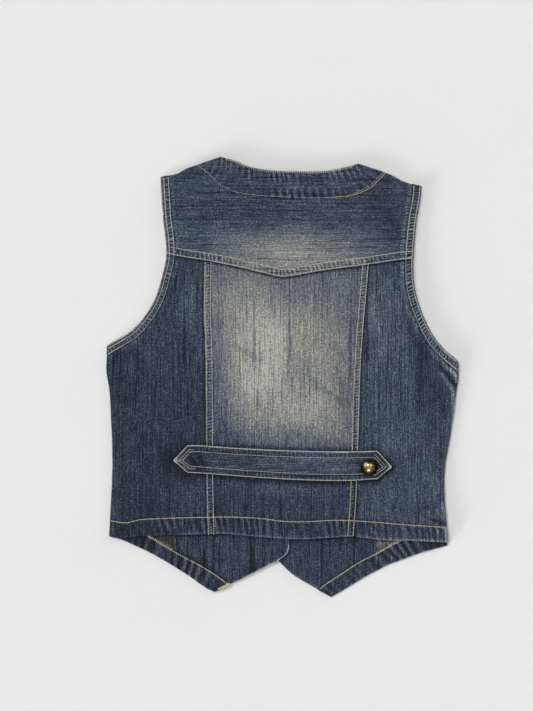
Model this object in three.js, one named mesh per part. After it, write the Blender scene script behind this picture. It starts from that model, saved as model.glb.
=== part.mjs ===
// A short denim vest that lies flat on its fronts, with its back up.
// X runs across the vest, towards the wearer's right. Y runs up to the neck, and Z up from the table.
// The origin is on the table, under the middle of the vest. All sizes are in millimetres.
// Every cloth piece is a wall between an underside and a top side, over an outline of its own.

import * as THREE from "three";

// Cloth and clearances
const cloth = 1.0; // one layer of the denim
const seamGap = 0.3; // between two pieces that are sewn edge to edge
const chordRoom = 0.25; // added to it along curves, for the corners of the mesh
const layerGap = 0.45; // between two layers that lie on each other
const lapRise = 0.8; // a felled seam or a turned hem stands this much higher than one layer
const lapWidth = 9; // a felled seam with its two rows of stitches
const bandWidth = 10; // the band round each armhole
const bandInset = 1.4; // the back one lies this far inside the front one, which shows past it
const bandThickness = 2.0;
const hemHeight = 20; // the turned hem of the back
const neckFacingRise = 0.5; // the back neck is doubled from inside

// Buttons
const buttonDiameter = 19;
const buttonHeight = 3.8;
const buttonSides = 24;
const frontButtonX = -6;
const frontButtonY = [22, -40, -102, -164];
const beltButton = { x: 99, y: -103.5 };

// Heights above the table
const layer = cloth + layerGap;
const buttonLift = buttonHeight + seamGap; // the right front is held up by the buttons below it
const overlapLift = 2 * layer; // the left front lies on the right front and its facing
const backHeight = 2 * layer + 0.1; // the back lies on the fronts and their facings
const backHump = buttonLift + overlapLift; // and rises over the closed fronts
const seamHeight = cloth + seamGap; // the back comes down to the fronts at its sewn edges
const curl = 11; // how far in from the side the back starts to come down

// The outline, seen from above. Each list runs in the order of its name.
const shoulderLeft = [ // neck to armhole
  [-71, 253], [-97, 244], [-113, 238], [-121, 233.5], [-132, 231.5], [-140.3, 229.6],
];
const shoulderRight = [ // neck to armhole
  [87, 245], [100, 240.8], [117, 235.2], [128, 230.5], [135, 226.5], [142, 223.5], [160, 219.5],
];
const backNeck = [ // left to right
  [-71, 253], [-54, 248], [-36, 241], [-9, 237], [20, 236], [48, 236.5], [71, 240.5], [87, 245],
];
const armholeLeft = [ // shoulder to underarm
  [-140.3, 229.6], [-139, 206], [-137, 178], [-134.5, 158], [-134, 137], [-137.5, 120],
  [-144.5, 95.5], [-151, 81.5], [-160, 68], [-172.5, 54], [-183, 47], [-202, 36],
];
const armholeRight = [ // shoulder to underarm
  [160, 219.5], [158.6, 204], [154.4, 180.5], [152.5, 162], [151.2, 146], [150.5, 130], [151.5, 107],
  [155.5, 88.5], [163, 68], [174, 47], [185, 33.5], [192, 27], [202, 18.5],
];
const sideLeft = [ // underarm to hem
  [-202, 36], [-202.5, 8], [-199, -15], [-196.5, -61], [-195.5, -98], [-197, -141], [-199, -182.8],
];
const sideRight = [ // underarm to hem
  [202, 18.5], [202.5, 1], [200, -15], [197.3, -36], [192.4, -70], [187.4, -98], [186, -116],
  [186.8, -147], [190, -190],
];

// Seams of the back
const yokeSeam = [ // left to right
  [-134, 141], [-109, 136.5], [-84, 132.5], [-49.5, 125.5], [-17, 117], [1, 114.5],
  [15, 115.5], [48, 122], [94, 128], [134.5, 134], [150, 135],
];
const princessLeft = [ // yoke to hem
  [-90.2, 132], [-90.6, 77], [-89, 31], [-88.4, -26], [-88, -118], [-86.5, -181],
];
const princessRight = [ // yoke to hem
  [99.5, 130], [96, 88.5], [92, 42.5], [89.5, -3.5], [87.5, -72.5], [85, -141.5], [82, -183],
];
const backHem = [ // left to right
  [-199, -182.8], [-190, -185], [-164.5, -183], [-130, -181.5], [-86.5, -180], [-66.5, -179.5],
  [-38, -182], [2, -185], [25, -185.5], [82, -183.5], [117, -187.5], [157.5, -188.5], [190, -190],
];

// The fronts, which reach lower than the back
const frontEdge = { left: 7.5, right: -20 }; // X of the edges that overlap at the closing
const neckBottom = 35; // Y where the V of the neck meets the closing
const hemEdgeLeft = [ // side to tip
  [-198.6, -183.2], [-184.5, -187], [-168, -194.5], [-153, -201.5], [-129, -215], [-107, -229],
  [-87.5, -242.5], [-78, -247],
];
const hemEdgeRight = [ // side to tip
  [189.5, -193.5], [172.5, -198], [158, -202.2], [140, -208.8], [119.5, -216.5], [107, -223.2],
  [94.5, -229.8], [72.5, -243.2], [56, -253],
];
const pointLeft = [ // tip to the closing's lower corner
  [-78, -247], [-70, -243], [-55, -235.5], [-29, -222], [-16, -215.5], [-7, -212], [-2, -208.5],
  [3.5, -204.5], [6.5, -200], [7.5, -193],
];
const pointRight = [ // tip to the closing's lower corner
  [56, -253], [48, -248.2], [35.5, -241.5], [15, -229], [6, -222], [-4.5, -211.5], [-13, -204],
  [-18.5, -198], [-20, -191],
];
const hemStitchLeft = [ // side to point, where the turned hem ends on the inside
  [-197, -167], [-176, -172], [-155, -181.5], [-135.5, -193], [-112.5, -206], [-95.5, -215],
  [-78, -225.5], [-60, -238.5],
];
const hemStitchRight = [ // side to point
  [187.5, -174], [163, -178], [133.5, -188], [111.5, -200], [88.5, -211.5], [65.5, -226.5],
  [48, -238], [40, -244.5],
];
const facingEdgeLeft = [[-106, 240], [-116, 100], [-122, -60], [-124, -199]]; // shoulder to hem
const facingEdgeRight = [[119, 234], [118, 100], [114, -60], [108, -201]]; // shoulder to hem

// The half belt
const beltEdges = { // top and bottom of the belt, at the same stations from left to right
  x: [-109, -95, -72, -38, 0, 30, 60, 80, 109],
  top: [-77.7, -77.7, -79.4, -81.4, -83.2, -84.1, -84.8, -84.8, -84.2],
  bottom: [-110, -110.5, -112.1, -114.6, -116.9, -118.5, -119.2, -119.2, -117.3],
};
const beltTips = { left: [-125.5, -95.5], right: [126, -103] };
const beltThickness = 2.0;
const beltTipLift = 2.2; // the two points of the belt stand off the back

// The largest folds of the back: middle, direction, half length, half width and height
const folds = [
  { x: 191, y: -5, angle: -48, length: 17, width: 4.5, height: 1.6 },
  { x: 153, y: 14, angle: 88, length: 62, width: 9, height: 1.1 },
  { x: 172, y: -20, angle: 85, length: 60, width: 10, height: -0.7 },
  { x: 177, y: -158, angle: -45, length: 15, width: 5, height: 1.1 },
  { x: -186, y: 4, angle: 75, length: 26, width: 7, height: 0.8 },
  { x: -36, y: 19, angle: -25, length: 16, width: 5, height: 0.7 },
  { x: 57, y: -22, angle: -6, length: 20, width: 6, height: 0.7 },
  { x: -150, y: -120, angle: 70, length: 40, width: 12, height: 0.8 },
];

const colours = {
  denim: { color: 0x3b4354, roughness: 0.92, metalness: 0 },
  fadedDenim: { color: 0x7e8383, roughness: 0.92, metalness: 0 },
  brass: { color: 0x8a6a3c, roughness: 0.35, metalness: 1 },
};

// Rises smoothly from 0 at a to 1 at b, and the other way round where a is the larger.
const rise = (t, a, b) => {
  const s = Math.min(1, Math.max(0, (t - a) / (b - a)));
  return s * s * (3 - 2 * s);
};

// A path through runs of points. It is smooth along a run and may turn sharply between two.
function path(...runs) {
  const curves = runs.map((run) => {
    const points = run.map(([x, y]) => new THREE.Vector3(x, y, 0));
    return points.length === 2
      ? new THREE.LineCurve3(points[0], points[1])
      : new THREE.CatmullRomCurve3(points, false, "centripetal");
  });
  const lengths = curves.map((c) => c.getLength());
  const total = lengths.reduce((a, b) => a + b, 0);
  const starts = lengths.map((_, i) => lengths.slice(0, i).reduce((a, b) => a + b, 0));
  const at = (t) => {
    const s = Math.min(1, Math.max(0, t)) * total;
    let i = curves.length - 1;
    while (i > 0 && s < starts[i]) i -= 1;
    const p = curves[i].getPointAt(Math.min(1, (s - starts[i]) / lengths[i]));
    return [p.x, p.y];
  };
  return { at, corners: starts.slice(1).map((s) => s / total) };
}

// The same path, moved sideways, to the left of the way it runs where the distance is positive.
function moved(route, distance, count = 24) {
  const step = 0.5 / count;
  return Array.from({ length: count + 1 }, (_, i) => {
    const t = i / count;
    const [x, y] = route.at(t);
    const [ax, ay] = route.at(t - step);
    const [bx, by] = route.at(t + step);
    const length = Math.hypot(bx - ax, by - ay);
    return [x - ((by - ay) / length) * distance, y + ((bx - ax) / length) * distance];
  });
}

// Carries a list of points on, in a straight line, to the given X.
function carriedTo(points, x) {
  const [ax, ay] = points[points.length - 2];
  const [bx, by] = points[points.length - 1];
  const kept = points.filter(([px]) => Math.abs(px) < Math.abs(x) - 1);
  return [...kept, [x, by + ((x - bx) * (by - ay)) / (bx - ax)]];
}

// The part of a path between two shares of its length, as points.
function stretch(route, from, to, count = 12) {
  return Array.from({ length: count + 1 }, (_, i) => route.at(from + ((to - from) * i) / count));
}

// The share of a path's length where it first passes the given Y or X on its way.
function shareAt(route, axis, value) {
  const steps = 800;
  const first = Math.sign(route.at(0)[axis] - value);
  for (let i = 1; i <= steps; i += 1) {
    if (Math.sign(route.at(i / steps)[axis] - value) !== first) return i / steps;
  }
  return 1;
}

// A four-sided patch between its edges: u runs along the top and v down the sides.
function patch(top, bottom, left, right) {
  return (u, v) => {
    const corner = [top.at(0), top.at(1), bottom.at(0), bottom.at(1)];
    const [t, b, l, r] = [top.at(u), bottom.at(u), left.at(v), right.at(v)];
    return [0, 1].map((i) => {
      const edges = (1 - v) * t[i] + v * b[i] + (1 - u) * l[i] + u * r[i];
      const upper = (1 - u) * corner[0][i] + u * corner[1][i];
      const lower = (1 - u) * corner[2][i] + u * corner[3][i];
      return edges - (1 - v) * upper - v * lower;
    });
  };
}

// Even shares from 0 to 1, with the given ones added and any that crowd them left out.
function shares(count, ...fixed) {
  const even = Array.from({ length: count + 1 }, (_, i) => i / count);
  const apart = 0.45 / count;
  const clear = even.filter((s) => s === 0 || s === 1 || fixed.every((f) => Math.abs(f - s) > apart));
  return [...clear, ...fixed].sort((a, b) => a - b);
}

// A closed wall over a patch, from its underside to its top side.
function wall(map, us, vs, under, over) {
  const columns = us.length;
  const rows = vs.length;
  const layerSize = columns * rows;
  const positions = [];
  for (const side of [over, under]) {
    for (const v of vs) {
      for (const u of us) {
        const [x, y] = map(u, v);
        positions.push(x, y, side(x, y, u, v));
      }
    }
  }
  const index = [];
  const quad = (a, b, c, d) => index.push(a, b, c, a, c, d);
  const id = (i, j) => j * columns + i;
  for (let j = 0; j < rows - 1; j += 1) {
    for (let i = 0; i < columns - 1; i += 1) {
      quad(id(i, j), id(i, j + 1), id(i + 1, j + 1), id(i + 1, j));
      const [a, b, c, d] = [id(i, j), id(i + 1, j), id(i + 1, j + 1), id(i, j + 1)];
      quad(a + layerSize, b + layerSize, c + layerSize, d + layerSize);
    }
  }
  const rim = [];
  for (let i = 0; i < columns - 1; i += 1) rim.push(id(i, 0));
  for (let j = 0; j < rows - 1; j += 1) rim.push(id(columns - 1, j));
  for (let i = columns - 1; i > 0; i -= 1) rim.push(id(i, rows - 1));
  for (let j = rows - 1; j > 0; j -= 1) rim.push(id(0, j));
  rim.forEach((a, k) => {
    const b = rim[(k + 1) % rim.length];
    quad(a, b, b + layerSize, a + layerSize);
  });
  const geometry = new THREE.BufferGeometry();
  geometry.setAttribute("position", new THREE.Float32BufferAttribute(positions, 3));
  // A patch that runs the other way round comes out inside out, so its faces are turned.
  const [ax, ay] = map(0.5, 0.5);
  const [bx, by] = map(0.51, 0.5);
  const [cx, cy] = map(0.5, 0.51);
  if ((bx - ax) * (cy - ay) - (by - ay) * (cx - ax) > 0) {
    for (let i = 0; i < index.length; i += 3) [index[i + 1], index[i + 2]] = [index[i + 2], index[i + 1]];
  }
  geometry.setIndex(index);
  return geometry;
}

const vest = new THREE.Group();

function add(name, geometry, colour) {
  const mesh = new THREE.Mesh(geometry, new THREE.MeshStandardMaterial(colours[colour]));
  mesh.name = name;
  vest.add(mesh);
  return mesh;
}

// Heights of the layers

const sides = [
  { route: path(sideLeft), shoulder: path(shoulderLeft), under: armholeLeft.at(-1) },
  { route: path(sideRight), shoulder: path(shoulderRight), under: armholeRight.at(-1) },
];

// X of a side, or Y of a shoulder, looked up on its path.
function across(route, axis, value) {
  let [low, high] = [0, 1];
  const falls = route.at(1)[axis] < route.at(0)[axis];
  for (let i = 0; i < 24; i += 1) {
    const middle = (low + high) / 2;
    if (route.at(middle)[axis] > value === falls) low = middle;
    else high = middle;
  }
  return route.at((low + high) / 2)[1 - axis];
}

// How far a point lies in from the nearest side seam or shoulder seam.
function fromFold(x, y) {
  const side = sides[x < 0 ? 0 : 1];
  const [underX, underY] = side.under;
  const toSide = y < underY
    ? Math.abs(across(side.route, 1, y) - x)
    : Math.hypot(underX - x, underY - y);
  const [neckX, neckY] = side.shoulder.at(0);
  const onShoulder = Math.abs(x) > Math.abs(neckX);
  const toShoulder = onShoulder
    ? Math.abs(across(side.shoulder, 0, x) - y) * 0.94
    : Math.hypot(neckX - x, neckY - y);
  return Math.min(toSide, toShoulder);
}

function foldsAt(x, y) {
  return folds.reduce((sum, f) => {
    const a = THREE.MathUtils.degToRad(f.angle);
    const along = ((x - f.x) * Math.cos(a) + (y - f.y) * Math.sin(a)) / f.length;
    const beside = ((y - f.y) * Math.cos(a) - (x - f.x) * Math.sin(a)) / f.width;
    return sum + f.height * Math.exp(-along * along - beside * beside);
  }, 0);
}

// The right front is held up by the buttons and comes down to the table beside them.
function rightFrontUnder(x, y) {
  const acrossX = rise(x, 84, 4);
  const alongY = rise(y, -214, -172) * rise(y, 112, 34);
  return buttonLift * acrossX * alongY;
}

// The left front lies over the right one as far as its edge, and then comes down to the table.
function leftFrontUnder(x, y) {
  const overlap = rise(x, -100, frontEdge.right - 6);
  const above = rise(y, 150, 74);
  return (buttonLift * rise(y, -214, -172) * rise(y, 112, 34) + overlapLift * above) * overlap;
}

// The back's sewn edges come down to the front, but only to the facing and the hem turn over them.
function seatHeight(x, y) {
  const facing = Math.abs(x < 0 ? facingEdgeLeft[0][0] : facingEdgeRight[0][0]);
  const onFacing = rise(Math.abs(x), facing + 22, facing + 4) * rise(y, 150, 190);
  const onHemTurn = rise(y, -138, -162);
  return seamHeight + (backHeight - seamHeight) * Math.max(onFacing, onHemTurn);
}

// The back lies over all of it.
function backUnder(x, y) {
  const acrossX = rise(x, -150, frontEdge.right - 4) * rise(x, 104, frontEdge.left);
  const lower = 1 - 0.5 * rise(y, -172, -214);
  const hump = backHump * acrossX * lower * rise(y, 176, 70);
  const lay = backHeight + hump + Math.max(-0.7, foldsAt(x, y));
  const s = Math.min(1, fromFold(x, y) / curl);
  const roundness = Math.sqrt(1 - (1 - s) * (1 - s));
  const seat = seatHeight(x, y);
  return seat + (lay - seat) * roundness;
}

const top = (under, thickness = cloth) => (x, y) => under(x, y) + thickness;

// Back

const halfGap = (seamGap + chordRoom / 2) / 2;

// The edges of an armhole's bands: the front one's edge, the back one's, and the seam of both.
function armholeEdges(points, sign) {
  const route = path(points);
  const to = points.at(-1)[0];
  return {
    front: moved(route, 0, 32),
    back: carriedTo(moved(route, sign * bandInset, 32), to),
    seam: carriedTo(moved(route, sign * bandWidth), to),
  };
}

const armholes = { left: armholeEdges(armholeLeft, 1), right: armholeEdges(armholeRight, -1) };

// A panel's edge beside an armhole band, from one Y to another, with the seam's gap left out.
function besideBand(which, fromY, toY) {
  const sign = which === "left" ? 1 : -1;
  const route = path(moved(path(armholes[which].seam), sign * (seamGap + chordRoom)));
  const from = fromY === null ? 0 : shareAt(route, 1, fromY);
  const to = toY === null ? 1 : shareAt(route, 1, toY);
  return stretch(route, from, to);
}

// The line of a seam, moved by half the seam's gap to one side.
const halfOff = (points, sign) => moved(path(points), sign * halfGap);

function shoulderFrom(which, x) {
  const route = path(which === "left" ? shoulderLeft : shoulderRight);
  return stretch(route, shareAt(route, 0, x), 0, 6);
}

function backYoke() {
  const left = besideBand("left", null, 141);
  const right = besideBand("right", null, 135);
  const shoulderL = shoulderFrom("left", left[0][0]);
  const shoulderR = shoulderFrom("right", right[0][0]).reverse();
  left[0] = shoulderL[0];
  right[0] = shoulderR.at(-1);
  const upper = path(shoulderL, backNeck, shoulderR);
  const seam = halfOff(yokeSeam, 1);
  seam[0] = left.at(-1);
  seam[seam.length - 1] = right.at(-1);
  const map = patch(upper, path(seam), path(left), path(right));
  const lapStart = 0.905;
  const under = (x, y) => backUnder(x, y);
  const over = (x, y, u, v) => {
    const facing = neckFacingRise * rise(v, 0.32, 0.26) * rise(u, 0.1, 0.16) * rise(u, 0.9, 0.84);
    return backUnder(x, y) + cloth + facing + (v > lapStart - 0.001 ? lapRise : 0);
  };
  const vs = [0, 0.025, 0.06, 0.13, 0.26, 0.32, 0.45, 0.6, 0.75, 0.89, lapStart, 1];
  add("back_yoke", wall(map, shares(26, ...upper.corners), vs, under, over), "denim");
}

function backPanelOver(lapAt) {
  const hemShare = 1 - hemHeight / 318;
  return (x, y, u, v) => {
    const raised = lapAt(u) || v > hemShare - 0.001;
    return backUnder(x, y) + cloth + (raised ? lapRise : 0);
  };
}

const backRows = (corners) => {
  const hemShare = 1 - hemHeight / 318;
  return shares(22, ...corners, hemShare - 0.008, hemShare);
};

function yokeSeamBetween(fromX, toX) {
  const route = path(halfOff(yokeSeam, -1));
  return stretch(route, shareAt(route, 0, fromX), shareAt(route, 0, toX));
}

function hemBetween(fromX, toX) {
  const route = path(backHem);
  const from = fromX === null ? 0 : shareAt(route, 0, fromX);
  const to = toX === null ? 1 : shareAt(route, 0, toX);
  return stretch(route, from, to);
}

function backCentre() {
  const left = halfOff(princessLeft, 1);
  const right = halfOff(princessRight, -1);
  const upper = yokeSeamBetween(left[0][0], right[0][0]);
  const lower = hemBetween(left.at(-1)[0], right.at(-1)[0]);
  [left[0], right[0]] = [upper[0], upper.at(-1)];
  [left[left.length - 1], right[right.length - 1]] = [lower[0], lower.at(-1)];
  const map = patch(path(upper), path(lower), path(left), path(right));
  const lap = lapWidth / 178;
  const over = backPanelOver((u) => u < lap + 0.001 || u > 1 - lap - 0.001);
  const us = shares(14, lap, lap + 0.008, 1 - lap - 0.008, 1 - lap);
  add("back_centre_panel", wall(map, us, backRows([]), backUnder, over), "fadedDenim");
}

// Shares across a side panel, closer together where the cloth curls down at the side.
const sideShares = [0, 0.008, 0.03, 0.065, 0.12, 0.22, 0.34, 0.48, 0.62, 0.76, 0.88, 1];

function backSide(which) {
  const isLeft = which === "left";
  const seam = isLeft ? princessLeft : princessRight;
  const inner = halfOff(seam, isLeft ? -1 : 1);
  const armhole = besideBand(which, isLeft ? 139.5 : 133.5, null);
  const yokeEnds = [armhole[0][0], inner[0][0]].sort((a, b) => a - b);
  const upper = yokeSeamBetween(...yokeEnds);
  const lower = isLeft ? hemBetween(null, inner.at(-1)[0]) : hemBetween(inner.at(-1)[0], null);
  if (!isLeft) {
    upper.reverse();
    lower.reverse();
  }
  armhole[0] = upper[0];
  [inner[0], inner[inner.length - 1]] = [upper.at(-1), lower.at(-1)];
  const sidePoints = isLeft ? sideLeft : sideRight;
  const below = sidePoints.filter(([, y]) => y < armhole.at(-1)[1] - 4);
  const outer = path(armhole, [armhole.at(-1), ...below]);
  const map = patch(path(upper), path(lower), outer, path(inner));
  const over = backPanelOver(() => false);
  const geometry = wall(map, sideShares, backRows(outer.corners), backUnder, over);
  add("back_side_panel_" + which, geometry, "denim");
}

// Armhole bands, one on the back and one on the front of each armhole

function armholeBand(which, layerName, under) {
  const edge = armholes[which][layerName];
  const seam = armholes[which].seam;
  const shoulder = path(which === "left" ? shoulderLeft : shoulderRight);
  const onShoulder = (x) => shoulder.at(shareAt(shoulder, 0, x));
  if (layerName === "back") edge[0] = onShoulder(edge[0][0]);
  seam[0] = onShoulder(seam[0][0]);
  const map = patch(
    path([edge[0], seam[0]]),
    path([edge.at(-1), seam.at(-1)]),
    path(edge),
    path(seam),
  );
  const over = (x, y) => under(x, y) + bandThickness;
  const geometry = wall(map, [0, 0.14, 0.86, 1], shares(32), under, over);
  add(`armhole_band_${layerName}_${which}`, geometry, "denim");
}

// The bands of the back lie on those of the fronts.
function backBandUnder(x, y) {
  return Math.max(backUnder(x, y), bandThickness + seamGap);
}

// Fronts

function frontUnder(which) {
  return which === "left" ? leftFrontUnder : rightFrontUnder;
}

function neckAndClosing(which) {
  const neck = which === "left" ? shoulderLeft[0] : shoulderRight[0];
  const x = frontEdge[which];
  const bow = which === "left" ? 5 : -5; // the V curves a little towards the middle
  const middle = [(neck[0] + x) / 2 + bow, (neck[1] + neckBottom) / 2 - 8];
  const lower = (which === "left" ? pointLeft : pointRight).at(-1);
  return [[neck, middle, [x, neckBottom]], [[x, neckBottom], lower]];
}

function front(which) {
  const isLeft = which === "left";
  const armhole = besideBand(which, null, null);
  const shoulder = shoulderFrom(which, armhole[0][0]);
  armhole[0] = shoulder[0];
  const hemEdge = isLeft ? hemEdgeLeft : hemEdgeRight;
  const point = isLeft ? pointLeft : pointRight;
  const sidePoints = (isLeft ? sideLeft : sideRight).slice(0, -1);
  const below = sidePoints.filter(([, y]) => y < armhole.at(-1)[1] - 4);
  const outer = path(armhole, [armhole.at(-1), ...below, hemEdge[0]]);
  const inner = path(...neckAndClosing(which));
  const lower = path(hemEdge, point);
  const map = patch(path(shoulder), lower, outer, inner);
  const under = frontUnder(which);
  const us = shares(13, ...lower.corners);
  const vs = shares(30, ...outer.corners, ...inner.corners);
  add("front_" + which, wall(map, us, vs, under, top(under)), "denim");
}

// The turned hem of a front, which lies on the inside, from its stitches to the edge.
function frontHemTurn(which) {
  const isLeft = which === "left";
  const under = (x, y) => frontUnder(which)(x, y) + layer;
  const stitched = isLeft ? hemStitchLeft : hemStitchRight;
  const edge = isLeft ? hemEdgeLeft : hemEdgeRight;
  const map = patch(
    path(stitched),
    path(edge),
    path([stitched[0], edge[0]]),
    path([stitched.at(-1), edge.at(-1)]),
  );
  const over = (x, y, u, v) => under(x, y) + cloth + (v < 0.3 ? 0.25 : 0);
  const geometry = wall(map, shares(18), [0, 0.28, 0.4, 1], under, over);
  add("front_hem_turn_" + which, geometry, "denim");
}

// The facing of a front, inside the neck and the closing, down to the turned hem.
function frontFacing(which) {
  const isLeft = which === "left";
  const sign = isLeft ? 1 : -1;
  const under = (x, y) => frontUnder(which)(x, y) + layer;
  const edge = isLeft ? facingEdgeLeft : facingEdgeRight;
  const shoulder = path(isLeft ? shoulderLeft : shoulderRight);
  const start = shoulder.at(shareAt(shoulder, 0, edge[0][0]));
  const upper = stretch(shoulder, shareAt(shoulder, 0, edge[0][0]), 0, 6);
  const outer = [start, ...edge.slice(1)];
  const stitched = path(moved(path(isLeft ? hemStitchLeft : hemStitchRight), sign * seamGap));
  const meets = shareAt(stitched, 0, edge.at(-1)[0]);
  const alongHem = stretch(stitched, meets, 0.985);
  outer[outer.length - 1] = alongHem[0];
  const point = path(isLeft ? pointLeft : pointRight);
  const alongPoint = [alongHem.at(-1), ...stretch(point, 0.3, 1, 10)];
  const lower = path(alongHem, alongPoint);
  const inner = path(...neckAndClosing(which));
  const map = patch(path(upper), lower, path(outer), inner);
  const us = shares(10, ...lower.corners);
  const vs = shares(28, ...inner.corners);
  add("front_facing_" + which, wall(map, us, vs, under, top(under)), "denim");
}

// Half belt

function halfBelt() {
  const topRun = beltEdges.x.map((x, i) => [x, beltEdges.top[i]]);
  const bottomRun = beltEdges.x.map((x, i) => [x, beltEdges.bottom[i]]);
  const stub = 0.06; // the points are cut off just short of their tips, so that the belt closes
  const nearTip = (tip, corner) => tip.map((value, axis) => value + (corner[axis] - value) * stub);
  const leftEnd = [topRun[0], bottomRun[0]].map((corner) => nearTip(beltTips.left, corner));
  const rightEnd = [topRun.at(-1), bottomRun.at(-1)].map((corner) => nearTip(beltTips.right, corner));
  const topPath = path([leftEnd[0], topRun[0]], topRun, [topRun.at(-1), rightEnd[0]]);
  const bottomPath = path([leftEnd[1], bottomRun[0]], bottomRun, [bottomRun.at(-1), rightEnd[1]]);
  const map = patch(topPath, bottomPath, path(leftEnd), path(rightEnd));
  const lift = (x) => beltTipLift * (rise(x, -98, -124) + rise(x, 100, 125));
  const under = (x, y) => backUnder(x, y) + cloth + lapRise + seamGap + lift(x);
  const edgeShare = 0.1; // the sewn edges, pressed flatter than the middle
  const edgeDrop = 0.4;
  const over = (x, y, u, v) => {
    const onEdge = v <= edgeShare || v >= 1 - edgeShare;
    return under(x, y) + beltThickness - (onEdge ? edgeDrop : 0);
  };
  const apart = (c) => topPath.corners.every((d) => Math.abs(c - d) > 0.01);
  const us = shares(24, ...topPath.corners, ...bottomPath.corners.filter(apart));
  add("half_belt", wall(map, us, [0, edgeShare, 0.5, 1 - edgeShare, 1], under, over), "denim");
  return under;
}

// Buttons

// A domed cap with a rolled rim, its flat side on the cloth at Z 0.
function buttonCap() {
  const radius = buttonDiameter / 2;
  const rim = 0.9; // the rolled rim stands straight for this much of the height
  const profile = [new THREE.Vector2(0, 0), new THREE.Vector2(radius - 0.5, 0)];
  profile.push(new THREE.Vector2(radius, 0.4));
  profile.push(new THREE.Vector2(radius, rim));
  const steps = 5;
  for (let i = 1; i < steps; i += 1) {
    const a = (Math.PI / 2) * (i / steps);
    profile.push(new THREE.Vector2(radius * Math.cos(a), rim + (buttonHeight - rim) * Math.sin(a)));
  }
  profile.push(new THREE.Vector2(0, buttonHeight));
  return new THREE.LatheGeometry(profile, buttonSides);
}

function buttons(beltUnder) {
  const cap = add("half_belt_button", buttonCap(), "brass");
  cap.rotation.x = Math.PI / 2;
  const seat = beltUnder(beltButton.x, beltButton.y) + beltThickness + seamGap + 0.25;
  cap.position.set(beltButton.x, beltButton.y, seat);
  frontButtonY.forEach((y, i) => {
    const button = add(`front_button_${i + 1}`, buttonCap(), "brass");
    button.rotation.x = -Math.PI / 2;
    button.position.set(frontButtonX, y, buttonHeight);
  });
}

backYoke();
backCentre();
backSide("left");
backSide("right");
armholeBand("left", "back", backBandUnder);
armholeBand("right", "back", backBandUnder);
armholeBand("left", "front", leftFrontUnder);
armholeBand("right", "front", rightFrontUnder);
front("left");
front("right");
frontFacing("left");
frontFacing("right");
frontHemTurn("left");
frontHemTurn("right");
buttons(halfBelt());

export default vest;
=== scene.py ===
"""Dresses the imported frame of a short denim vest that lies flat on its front, with its back up.

X runs across the vest towards the wearer's right, Y up to the neck and Z up from the table. The
shapes are worked out in millimetres and become metres when a mesh is made.
"""

import math

import bmesh
import bpy
import numpy as np
from mathutils import Matrix, Vector


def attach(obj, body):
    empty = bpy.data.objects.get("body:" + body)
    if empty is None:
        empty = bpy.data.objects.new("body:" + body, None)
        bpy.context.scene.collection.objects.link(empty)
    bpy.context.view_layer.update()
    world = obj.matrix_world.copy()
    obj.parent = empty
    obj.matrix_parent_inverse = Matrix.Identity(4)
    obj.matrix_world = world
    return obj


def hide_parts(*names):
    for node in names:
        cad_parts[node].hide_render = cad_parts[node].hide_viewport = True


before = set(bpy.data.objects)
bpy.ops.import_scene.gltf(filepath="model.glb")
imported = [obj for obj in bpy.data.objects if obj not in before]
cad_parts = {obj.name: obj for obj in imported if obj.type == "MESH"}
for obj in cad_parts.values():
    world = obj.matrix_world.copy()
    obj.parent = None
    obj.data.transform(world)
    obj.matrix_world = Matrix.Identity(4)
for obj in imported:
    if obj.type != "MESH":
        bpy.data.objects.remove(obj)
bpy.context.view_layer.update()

bl_info = {
    "name": "Denim Vest",
    "version": (1, 0, 0),
    "blender": (4, 5, 0),
    "location": "View3D > Sidebar > Vest",
    "description": "Builds the cloth, seams, buttons and stage of a flat denim vest",
    "category": "Object",
}

MM = 0.001

# Cloth and clearances, in millimetres
CLOTH = 1.0  # one layer of the denim
SEAM_GAP = 0.3
CHORD_ROOM = 0.12
LAYER_GAP = 0.45
LAP_RISE = 0.8
LAP_WIDTH = 9.5
BAND_WIDTH = 10.0
BAND_INSET = 1.4
BAND_THICKNESS = 2.0
NECK_FACING_RISE = 0.5
BUTTON_DIAMETER = 19.0
BUTTON_HEIGHT = 3.8
FRONT_BUTTON_X = -6.0
FRONT_BUTTON_Y = (22, -40, -102, -164)
BELT_BUTTON = (99.0, -103.5)
BELT_THICKNESS = 2.0
BELT_TIP_LIFT = 2.2
BELT_OUTER_ROW = 1.0
BELT_PUCKER_ROW = 4.3
BELT_INNER_ROW = 7.7

# Heights above the table
LAYER = CLOTH + LAYER_GAP
BUTTON_LIFT = BUTTON_HEIGHT + SEAM_GAP
OVERLAP_LIFT = 2 * LAYER
BACK_HEIGHT = 2 * LAYER + 0.1
BACK_HUMP = BUTTON_LIFT + OVERLAP_LIFT
SEAM_HEIGHT = CLOTH + SEAM_GAP
CURL = 11.0  # how far from a folded side the back starts to come down
SHOULDER_SLOPE = 0.94  # cosine of the slope of a shoulder

SIDES = ("left", "right")
INWARD = {"left": 1, "right": -1}  # the middle lies left or right of a line that runs down

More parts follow.
